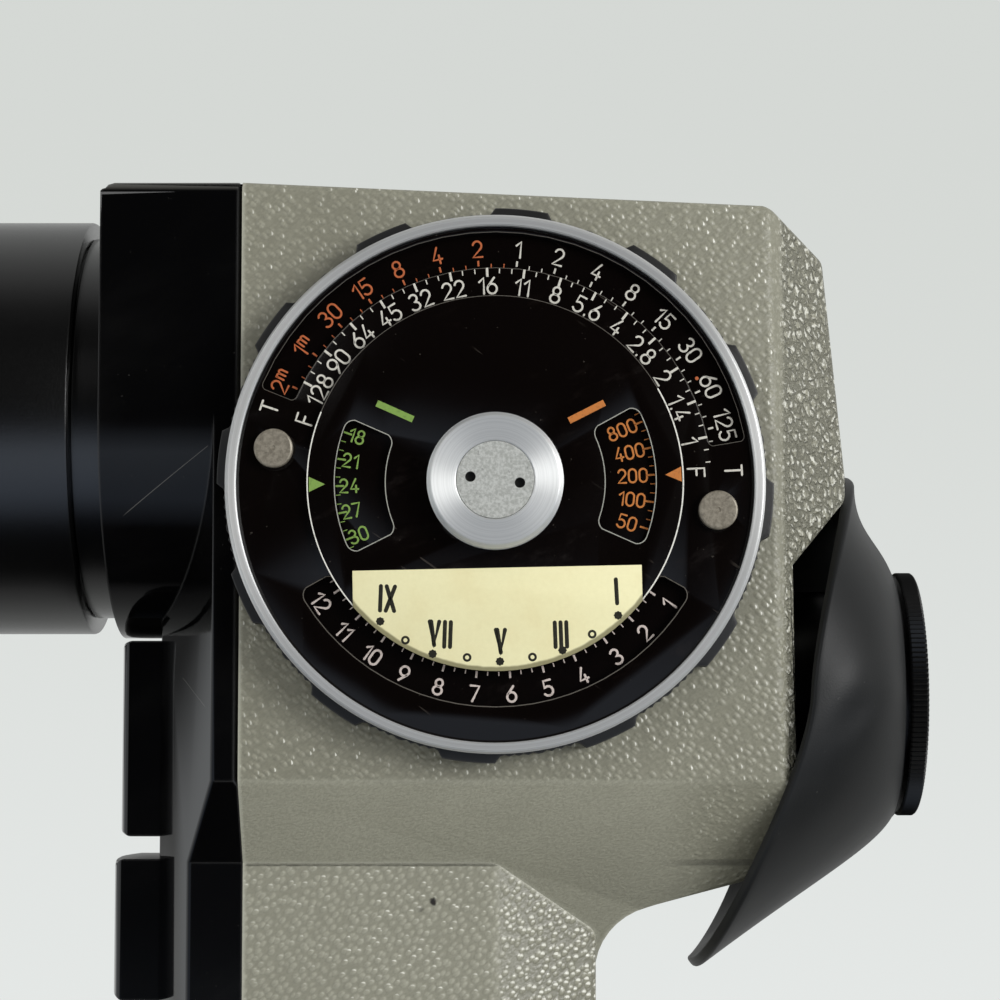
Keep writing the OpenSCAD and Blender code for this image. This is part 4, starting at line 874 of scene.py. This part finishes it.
def cup_ring(t, depth=0):
    """A ring of points at t, pushed into the rubber by depth millimetres."""
    ring = []
    for i in range(CUP_AROUND):
        a = math.tau * i / CUP_AROUND
        here = cup_skin(a, t)
        if depth:
            along = cup_skin(a, min(1, t + 0.01)) - cup_skin(a, max(0, t - 0.01))
            around = cup_skin(a + 0.02, t) - cup_skin(a - 0.02, t)
            here = here + along.cross(around).normalized() * depth * MM
        ring.append(here)
    return ring


def cup_thickness(t):
    return 1.75 - 0.55 * t + 0.35 * bump_at(t, 1, 0.05)


ts = [i / CUP_ALONG for i in range(CUP_ALONG + 1)]
outer = [cup_ring(t) for t in ts]
inner = [cup_ring(t, cup_thickness(t)) for t in reversed(ts)]
cup = sheet_of("rubber_eyecup", outer + inner, True, rubber_skin)
if (cup.data.vertices[0].co - Vector((0, 0, eye_z))).dot(cup.data.polygons[0].normal) < 0:
    open_mesh(cup)
    bpy.ops.mesh.flip_normals()
    close_mesh()
rim_row = CUP_ALONG * CUP_AROUND
round_edges(cup, 0.5 * MM, lambda e: all(rim_row <= v.index < rim_row + 2 * CUP_AROUND for v in e.verts)
            and (e.verts[0].index // CUP_AROUND == e.verts[1].index // CUP_AROUND), 4, 30)
smooth(cup, 60)
neck_bore, neck_wall, neck_long, neck_lap = 14.02, 2.88, 5.8, 0.06
neck_out = neck_bore + neck_wall
neck_profile = [(neck_bore, -neck_long), (neck_out, -neck_long), (neck_out, neck_lap), (neck_bore, neck_lap)]
neck = lathe("eyecup_neck", neck_profile, (neck_x * MM, 0, eye_z), "X", rubber_skin, 96)
settle(join(cup, neck), "body", "soft_rubber", "eyecup")

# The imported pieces, of which those without a finished form are seen as they are.
for finish, names in (
        (grip_black, "battery_cover dial_base base_plate grip_ring"),
        (barrel_black, "lens_mount lens_retainer focus_ring lens_cell"),
        (eye_black, "eyepiece_tube eyepiece_cell diopter_ring"),
        (dial_paint, "time_disc speed_mask window_disc"),
        (steel, "dial_spindle spring_washer housing_screws base_screws upper_plunger lower_plunger"),
        (brass, "tripod_socket"), (lens_glass, "front_element rear_element eyepiece_lens"),
        (prism_glass, "lower_prism"), (mirror_coat, "main_mirror"),
        (milky, "focusing_screen scale_plate scale_lamp"),
        (inner_black, "optics_frame prism_seat cell_holder switches battery_contacts board_parts"),
        (board, "switch_board circuit_board"), (battery_skin, "battery"), (magnet, "meter_yoke"),
        (copper, "meter_coil photocell"), (needle_red, "meter_needle"), (leather, "left_housing right_housing"),
        (gloss, "front_cover upper_trigger lower_trigger"), (bright, "bezel dial_hub"), (warm, "dial_pins"),
        (card, "dial_label"), (rubber_skin, "eyecup")):
    for name in names.split():
        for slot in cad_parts[name].material_slots:
            slot.material = finish


# Dial marks. Figures are drawn with a round pen in a cell one unit high.
def bow(x, y, rx, ry, a0, a1, steps=9):
    """Points along an oval arc, from angle a0 to a1 in degrees."""
    turns = [math.radians(a0 + (a1 - a0) * i / steps) for i in range(steps + 1)]
    return [(x + rx * math.cos(t), y + ry * math.sin(t)) for t in turns]


SIX = [(0.43, 1)] + bow(0.29, 0.31, 0.29, 0.31, 148, 508, 16)
FIGURES = {
    "0": [bow(0.28, 0.7, 0.28, 0.3, 0, 180) + bow(0.28, 0.3, 0.28, 0.3, 180, 360) + [(0.56, 0.7)]],
    "1": [[(0.04, 0.74), (0.32, 1), (0.32, 0)]],
    "2": [bow(0.29, 0.71, 0.27, 0.29, 165, -38) + [(0, 0), (0.58, 0)]],
    "3": [bow(0.27, 0.76, 0.24, 0.24, 150, -90) + bow(0.27, 0.26, 0.29, 0.26, 90, -150)],
    "4": [[(0.38, 1), (0.02, 0.25), (0.58, 0.25)], [(0.42, 0.5), (0.42, 0)]],
    "5": [[(0.53, 1), (0.09, 1), (0.06, 0.55)] + bow(0.27, 0.31, 0.3, 0.31, 125, -150)],
    "6": [SIX],
    "7": [[(0, 1), (0.56, 1), (0.18, 0)]],
    "8": [bow(0.29, 0.76, 0.23, 0.24, 0, 360, 14), bow(0.29, 0.27, 0.29, 0.27, 0, 360, 14)],
    "9": [[(0.58 - x, 1 - y) for x, y in SIX]],
    "F": [[(0.06, 0), (0.06, 1), (0.54, 1)], [(0.06, 0.52), (0.46, 0.52)]],
    "T": [[(0, 1), (0.58, 1)], [(0.29, 1), (0.29, 0)]],
    "m": [[(0, 0.45), (0, 0.95)], bow(0.13, 0.8, 0.13, 0.15, 180, 0) + [(0.26, 0.45)],
          bow(0.39, 0.8, 0.13, 0.15, 180, 0) + [(0.52, 0.45)]],
    ".": [[(0.07, 0), (0.07, 0.05)]],
    "I": [[(0, 0), (0, 1)]],
    "V": [[(0, 1), (0.2, 0), (0.4, 1)], [(0.06, 1), (0.22, 0.05)]],
    "X": [[(0, 1), (0.36, 0)], [(0.36, 1), (0, 0)]],
}
FIGURE_WIDTH = {"1": 0.34, ".": 0.14, "I": 0, "V": 0.4, "X": 0.36, "m": 0.52}


def turned(x, y, degrees):
    c, s = math.cos(math.radians(degrees)), math.sin(math.radians(degrees))
    return x * c - y * s, x * s + y * c


def written(text, height, x, y, turn, pen, spacing=0.27, squeeze=1):
    """Strokes of a short text centred at x, y in millimetres and turned by degrees."""
    widths = [FIGURE_WIDTH.get(c, 0.58) * squeeze for c in text]
    left = -(sum(widths) + spacing * (len(text) - 1)) / 2
    strokes = []
    for figure, width in zip(text, widths):
        for line in FIGURES[figure]:
            points = [turned((left + px * squeeze) * height, (py - 0.5) * height, turn) for px, py in line]
            strokes.append(([(x + a, y + b) for a, b in points], pen, True))
        left += width + spacing
    return strokes


def polar(r, degrees):
    return r * math.cos(math.radians(degrees)), r * math.sin(math.radians(degrees))


def figures_round(scale, height, r, pen, facing=-90, spacing=0.27):
    """Texts round the dial's axis. Facing -90 has their tops outwards, 90 has them inwards."""
    strokes = []
    for text, degrees in scale:
        x, y = polar(r, degrees)
        strokes += written(text, height, x, y, degrees + facing, pen, spacing)
    return strokes


def tick(r0, r1, degrees, pen):
    return ([polar(r0, degrees), polar(r1, degrees)], pen, False)


def arc_line(r, a0, a1, pen, steps):
    return ([polar(r, a0 + (a1 - a0) * i / steps) for i in range(steps + 1)], pen, False)


# The painted layers of the dial: height, body and slot.
ON_TIME = (time_h, "outer_dial", "dial_black")
ON_PLATE = (window_h, "speed_plate", "dial_black")
ON_MASK = (mask_h, "body", "dial_black")
ON_MASK_EDGE = (mask_h, "body", "bright_metal")
ON_LABEL = (label_h, "body", "label_cream")


def onto_dial(height):
    """From a drawing in millimetres to the dial, at a height over the housing's side."""
    place = Matrix.Translation((dial_x, face_y - height * MM, dial_z))
    return place @ Matrix.Rotation(math.radians(90), 4, "X")


def rounded_end(end, inner, pen):
    """Two points past a stroke's end, with their widths, which round it off."""
    end = Vector(end)
    out = (end - Vector(inner)).normalized() * pen
    return [(end + out * 0.6, pen * 0.8), (end + out * 0.95, pen * 0.3)]


def lay_marks(name, strokes, layer, finish, thick=0.035):
    """Makes strokes a thin coat of paint on one of the dial's layers."""
    height, body, slot = layer
    widest = 0.15
    curve = bpy.data.curves.new(name, "CURVE")
    curve.dimensions = "3D"
    curve.bevel_depth = widest
    curve.bevel_resolution = 1
    curve.use_fill_caps = True
    for points, pen, round_ends in strokes:
        closed = points[0] == points[-1] or (Vector(points[0]) - Vector(points[-1])).length < 1e-4
        line = [(p, pen) for p in (points[:-1] if closed else points)]
        if round_ends and not closed:
            head = rounded_end(points[0], points[1], pen)
            line = head[::-1] + line + rounded_end(points[-1], points[-2], pen)
        spline = curve.splines.new("POLY")
        spline.use_cyclic_u = closed
        spline.points.add(len(line) - 1)
        for point, (at, width) in zip(spline.points, line):
            point.co = (at[0], at[1], 0, 1)
            point.radius = width / widest
    drawn = bpy.data.objects.new(name, curve)
    scene.collection.objects.link(drawn)
    pick(drawn)
    bpy.ops.object.convert(target="MESH")
    piece = bpy.context.object
    piece.data.transform(onto_dial(height) @ Matrix.Diagonal((MM, MM, thick / (2 * widest) * MM, 1)))
    piece.data.materials.append(finish)
    smooth(piece, 60)
    return settle(piece, body, slot)


# Half the width of a stroke, in millimetres.
pen, thin, fine = 0.128, 0.07, 0.055
value_pen, speed_pen, zone_pen = 0.145, 0.12, 0.26
FIGURE_TALL = 2.05
STEP = 10  # degrees from one figure of a scale to the next
THIRDS = (-3.33, -6.67)
TIME_TURN = 84.4
STOP_TURN = 102.2


def scale_of(texts, first, step):
    """Texts of a scale, each with its place in degrees."""
    return [(text, first + step * i) for i, text in enumerate(texts.split())]


def graduated(scale, tall, r, pen, long, short, tick_pen, facing=-90, spacing=0.2):
    """Figures with a long tick each and two short ones after it. Ticks run from one radius to another."""
    strokes = figures_round(scale, tall, r, pen, facing, spacing)
    for text, degrees in scale:
        strokes.append(tick(*long, degrees, tick_pen))
        strokes += [tick(*short, degrees + third, thin) for third in THIRDS]
    return strokes


for name, scale, finish in (
        ("time_marks", scale_of("1 2 4 8 15 30 60 125", TIME_TURN, -STEP), white_paint),
        ("long_time_marks", scale_of("2 4 8 15 30 1m 2m", TIME_TURN + STEP, STEP), orange_paint)):
    strokes = graduated(scale, FIGURE_TALL, 29.95, pen, long=(27.75, 28.45), short=(27.5, 28), tick_pen=0.12)
    lay_marks(name, strokes, ON_TIME, finish)

stops = scale_of("22 16 11 8 5.6 4 2.8 2 1.4 1", STOP_TURN, -STEP)
stops += scale_of("32 45 64 90 128", STOP_TURN + STEP, STEP)
strokes = graduated(stops, FIGURE_TALL, 25, pen, long=(26.15, 27.3), short=(26.6, 27.2), tick_pen=0.15)
for degrees in (161.6, 2.9):
    strokes += figures_round([("T", degrees)], 2.1, 30, pen) + figures_round([("F", degrees)], 2.1, 25.3, pen)
lay_marks("stop_marks", strokes, ON_PLATE, white_paint)

values = scale_of("12 11 10 9 8 7 6 5 4 3 2 1", 214.4, STEP)
values = [(text, degrees + (0.5 if degrees > 300 else 0)) for text, degrees in values]
strokes = graduated(values, 1.95, 26.6, value_pen, long=(23.75, 24.6), short=(23.75, 24.25), tick_pen=0.13,
                    facing=90, spacing=0.22)
lay_marks("value_marks", strokes, ON_TIME, warm_paint)

for name, scale, figure_r, turn, finish in (
        ("green_speed_marks", scale_of("18 21 24 27 30", 161.5, 9.9), 18.4, -180, green_paint),
        ("amber_speed_marks", scale_of("800 400 200 100 50", 22.6, -9.9), 17.3, 0, amber_paint)):
    strokes = []
    for text, degrees in scale:
        strokes += written(text, 1.68, *polar(figure_r, degrees), degrees + turn, speed_pen, spacing=0.22)
        strokes.append(tick(19, 20.1, degrees, speed_pen))
        strokes += [tick(19.5, 20.1, degrees + third, fine) for third in (3.3, 6.6)]
    lay_marks(name, strokes, ON_PLATE, finish)


# Lines and signs round the windows, among them painted highlights along window and mask edges.
def rounded_window(r0, r1, a0, a1, q, pen):
    """A closed line round a curved window with rounded corners."""
    o, i = math.degrees(math.asin(q / (r1 - q))), math.degrees(math.asin(q / (r0 + q)))

    def corner(r, a, b0, b1):
        x, y = polar(r, a)
        return [(x + q * math.cos(math.radians(b0 + (b1 - b0) * k / 5)),
                 y + q * math.sin(math.radians(b0 + (b1 - b0) * k / 5))) for k in range(1, 5)]

    points = [polar(r1, a0 + o + (a1 - a0 - 2 * o) * k / 24) for k in range(25)]
    points += corner(r1 - q, a1 - o, a1 - o, a1 + 90) + corner(r0 + q, a1 - i, a1 + 90, a1 - i + 180)
    points += [polar(r0, a1 - i - (a1 - a0 - 2 * i) * k / 24) for k in range(25)]
    points += corner(r0 + q, a0 + i, a0 + i + 180, a0 + 270) + corner(r1 - q, a0 + o, a0 - 90, a0 + o)
    return (points + [points[0]], pen, False)


def lay_patch(name, outline, layer, finish, thick=0.03):
    """A thin flat patch of paint on one of the dial's layers, from its outline in millimetres."""
    height, body, slot = layer
    mesh = bpy.data.meshes.new(name)
    mesh.from_pydata([(x, y, 0) for x, y in outline], [], [list(range(len(outline)))])
    piece = bpy.data.objects.new(name, mesh)
    scene.collection.objects.link(piece)
    finish_with(piece, "SOLIDIFY", thickness=2 * thick, offset=0)
    mesh.transform(onto_dial(height) @ Matrix.Diagonal((MM, MM, MM, 1)))
    mesh.materials.append(finish)
    return settle(piece, body, slot)


def spread(x, y, outline):
    """An outline moved to x, y."""
    return [(x + a, y + b) for a, b in outline]


def round_patch(r, corners):
    """Corners of a small disc."""
    return [(r * math.cos(k * math.tau / corners), r * math.sin(k * math.tau / corners)) for k in range(corners)]


mask_r = label_r / MM
mask_rim = mask_r - 0.1
# Painted highlights along the rims of the two film speed windows.
lit_window_rims = [rounded_window(mask_r - 9.9, mask_r - 3.5, a0, a1, 1.3, 0.06) for a0, a1 in ((156, 207), (-24, 29))]
lay_marks("speed_window_edge_highlights", lit_window_rims, ON_MASK, window_highlight_paint, 0.03)
# Painted highlights along the raised disc's edge: brighter on the sides, faint along the top.
lay_marks("mask_edge_highlight", [arc_line(mask_rim, -48, 30, 0.085, 40), arc_line(mask_rim, 158, 228, 0.075, 40)],
          ON_MASK_EDGE, mask_highlight_paint, 0.03)
lay_marks("mask_edge_faint_highlight", [arc_line(mask_rim, 30, 158, 0.04, 60)], ON_MASK_EDGE, dim_paint, 0.03)
lay_marks("value_window_line", [rounded_window(mask_r - 0.35, rim - 5.85, 209, 331, 1.4, 0.06)],
          ON_PLATE, dim_paint, 0.03)
lay_marks("time_arc", [arc_line(27.3, 9.5, 158, 0.045, 70)], ON_TIME, dim_paint, 0.03)
lay_marks("time_window_line", [rounded_window(rim - 6.7, rim - 2.1, 9.5, 158, 0.7, 0.035)],
          ON_PLATE, dim_paint, 0.025)
lay_patch("orange_spot", spread(*polar(28.8, 27.6), round_patch(0.24, 12)), ON_TIME, orange_paint)


def arrow(degrees):
    """A triangle at the rim of the raised disc, with its tip inwards."""
    r_tip, r_base, half = mask_r - 2.35, mask_r - 0.3, 0.95
    turn = math.degrees(half / r_base)
    return [polar(r_tip, degrees), polar(r_base, degrees - turn), polar(r_base, degrees + turn)]


# An arrow and a plain bar beside each film speed window.
for name, finish, degrees in (("amber_arrow", amber_paint, 2.4), ("green_arrow", green_paint, 180.8)):
    lay_patch(name, arrow(degrees), ON_MASK, finish)
half_long, half_wide = 2.5, 0.42
for name, finish, place, turn in (("amber_bar", amber_paint, (11.5, 8.85), 27),
                                  ("green_bar", green_paint, (-12.6, 8.9), -24)):
    corners = [turned(sx * half_long, sy * half_wide, turn) for sx, sy in ((-1, -1), (1, -1), (1, 1), (-1, 1))]
    lay_patch(name, spread(*place, corners), ON_MASK, finish)

# Zone marks on the cream label: narrow figures, ragged dots and small rings.
strokes = []
for text, x, y, tall, turn in (
        ("IX", -13.45, -14.65, 3.05, -2), ("VII", -6.9, -19.1, 3.1, -2), ("V", 0.65, -20.05, 3, 0),
        ("III", 8.2, -19.15, 3.05, 2), ("I", 15.15, -13.75, 3, 3)):
    strokes += written(text, tall, x, y, turn, zone_pen, spacing=0.235, squeeze=0.95)
lay_marks("zone_figures", strokes, ON_LABEL, ink, 0.025)
ragged = [polar(0.47 if k % 2 else 0.56, k * 22.5) for k in range(16)]
for i, place in enumerate(((-14.35, -17.5), (-7.8, -21.55), (0.6, -22.5), (8.4, -21.1), (15.35, -16.75))):
    lay_patch("zone_dot_%d" % (i + 1), spread(*place, ragged), ON_LABEL, ink, 0.025)
ring = round_patch(0.4, 20)
rings = [(spread(*place, ring + ring[:1]), 0.15, False)
         for place in ((-11.2, -19.85), (-3.5, -22), (4.65, -21.95), (12.1, -19.1))]
lay_marks("zone_rings", rings, ON_LABEL, ink, 0.025)


# Light: a soft box to the right, a faint fill, and a pale sweep behind the object.
def soft_box(name, place, aim, width, height, power):
    lamp = bpy.data.lights.new(name, "AREA")
    lamp.shape = "RECTANGLE"
    lamp.size = width
    lamp.size_y = height
    lamp.energy = power
    holder = bpy.data.objects.new(name, lamp)
    scene.collection.objects.link(holder)
    holder.location = place
    holder.rotation_euler = (Vector(aim) - Vector(place)).to_track_quat("-Z", "Y").to_euler()


aim = (0.016, -0.02, 0.11)
soft_box("right_soft_box", (1.165, -0.964, 0.42), aim, width=0.7, height=0.7, power=17)
soft_box("left_fill", (-0.9, -1.3, 0.9), aim, width=0.5, height=0.5, power=3)

# What the room gives: an even glow on dull surfaces, and for glossy ones a dark room in front
# with a pale table below, a faint bluish glow low in front, and the pale sweep behind.
ROOM_GLOW = (0.57, 0.57, 0.57)
studio = bpy.data.worlds.new("studio")
scene.world = studio
room = Nodes(studio)
parts = room.parts(room.node("TexCoord").outputs["Generated"])
toward = room.math("MULTIPLY", parts["Y"], -1)
tilt = room.math("MULTIPLY", room.math("ARCTAN2", parts["Z"], toward), 180 / math.pi)
ramp = room.node("ValToRGB", {"Fac": room.between(tilt, -180, 180, soft=False)})
BANDS = (
    (-180, (0.66, 0.67, 0.66)), (-128, (0.42, 0.43, 0.42)), (-106, (0.22, 0.22, 0.22)), (-96, (0.012, 0.012, 0.012)),
    (-60, (0.008, 0.008, 0.01)), (-44, (0.33, 0.39, 0.5)), (-18, (0.5, 0.57, 0.68)), (-4, (0.04, 0.043, 0.05)),
    (4, (0.006, 0.006, 0.006)), (50, (0.012, 0.012, 0.012)), (66, (0.08, 0.08, 0.08)), (84, (0.32, 0.32, 0.32)),
    (110, (0.56, 0.57, 0.56)), (180, (0.7, 0.71, 0.7)))
bands = ramp.color_ramp.elements
while len(bands) < len(BANDS):
    bands.new(0.5)
for band, (degrees, colour) in zip(bands, BANDS):
    band.position = (degrees + 180) / 360
    band.color = colour + (1,)
# To the left it is dark above, with a bright pane at the far left.
leftward = room.between(parts["X"], -0.34, -0.48)
upper = room.between(parts["Z"], -0.12, 0)
glow = room.blend(room.times(leftward, upper, 0.9), ramp.outputs["Color"], (0.01, 0.01, 0.011))
pane = room.times(room.between(parts["X"], -0.72, -0.86), room.between(parts["Z"], -0.45, -0.2),
                  room.between(parts["Z"], 0.6, 0.3))
glow = room.blend(pane, glow, (1.1, 1.14, 1.16))
sky = room.blend(room.between(parts["Z"], -0.25, 0.25), (0.81, 0.835, 0.825), (0.665, 0.69, 0.665))
path = room.node("LightPath").outputs
seen = room.math("MAXIMUM", path["Is Camera Ray"], path["Is Transmission Ray"])
lit = room.blend(path["Is Glossy Ray"], ROOM_GLOW, glow)
room.plug(studio.node_tree.nodes["Background"].inputs["Color"], room.blend(seen, lit, sky))

floor_r, haze_start, haze_end = 0.5, 0.25, 0.44
bpy.ops.mesh.primitive_circle_add(vertices=96, radius=floor_r, fill_type="NGON", location=(0, 0, 0))
floor = bpy.context.object
floor.name = "pale_floor"
paper = new_finish("pale_paper", Roughness=0.8, Specular_IOR_Level=0.2)
raw = paper.place()
reach = paper.vector("LENGTH", raw)
fibre = paper.noise(raw, 300)
# Glossy surfaces see the room's own glow instead of the floor.
glossy = paper.node("LightPath").outputs["Is Glossy Ray"]
floor.data.materials.append(paper.surface(
    Base_Color=paper.blend(fibre, (0.6, 0.61, 0.59), (0.64, 0.65, 0.63)),
    Alpha=paper.times(paper.between(reach, haze_start, haze_end, 1, 0), paper.leave(glossy))))

# The camera, opposite the dial and a little below its middle.
camera_data = bpy.data.cameras.new("camera")
camera = bpy.data.objects.new("camera", camera_data)
scene.collection.objects.link(camera)
camera.location = (0.017, -0.3755, 0.0901)
camera.rotation_euler = (math.radians(94.755), 0, 0)
camera_data.lens = 98.1
camera_data.sensor_width = 36
camera_data.clip_start = 0.01
scene.camera = camera
scene.view_settings.view_transform = "Standard"
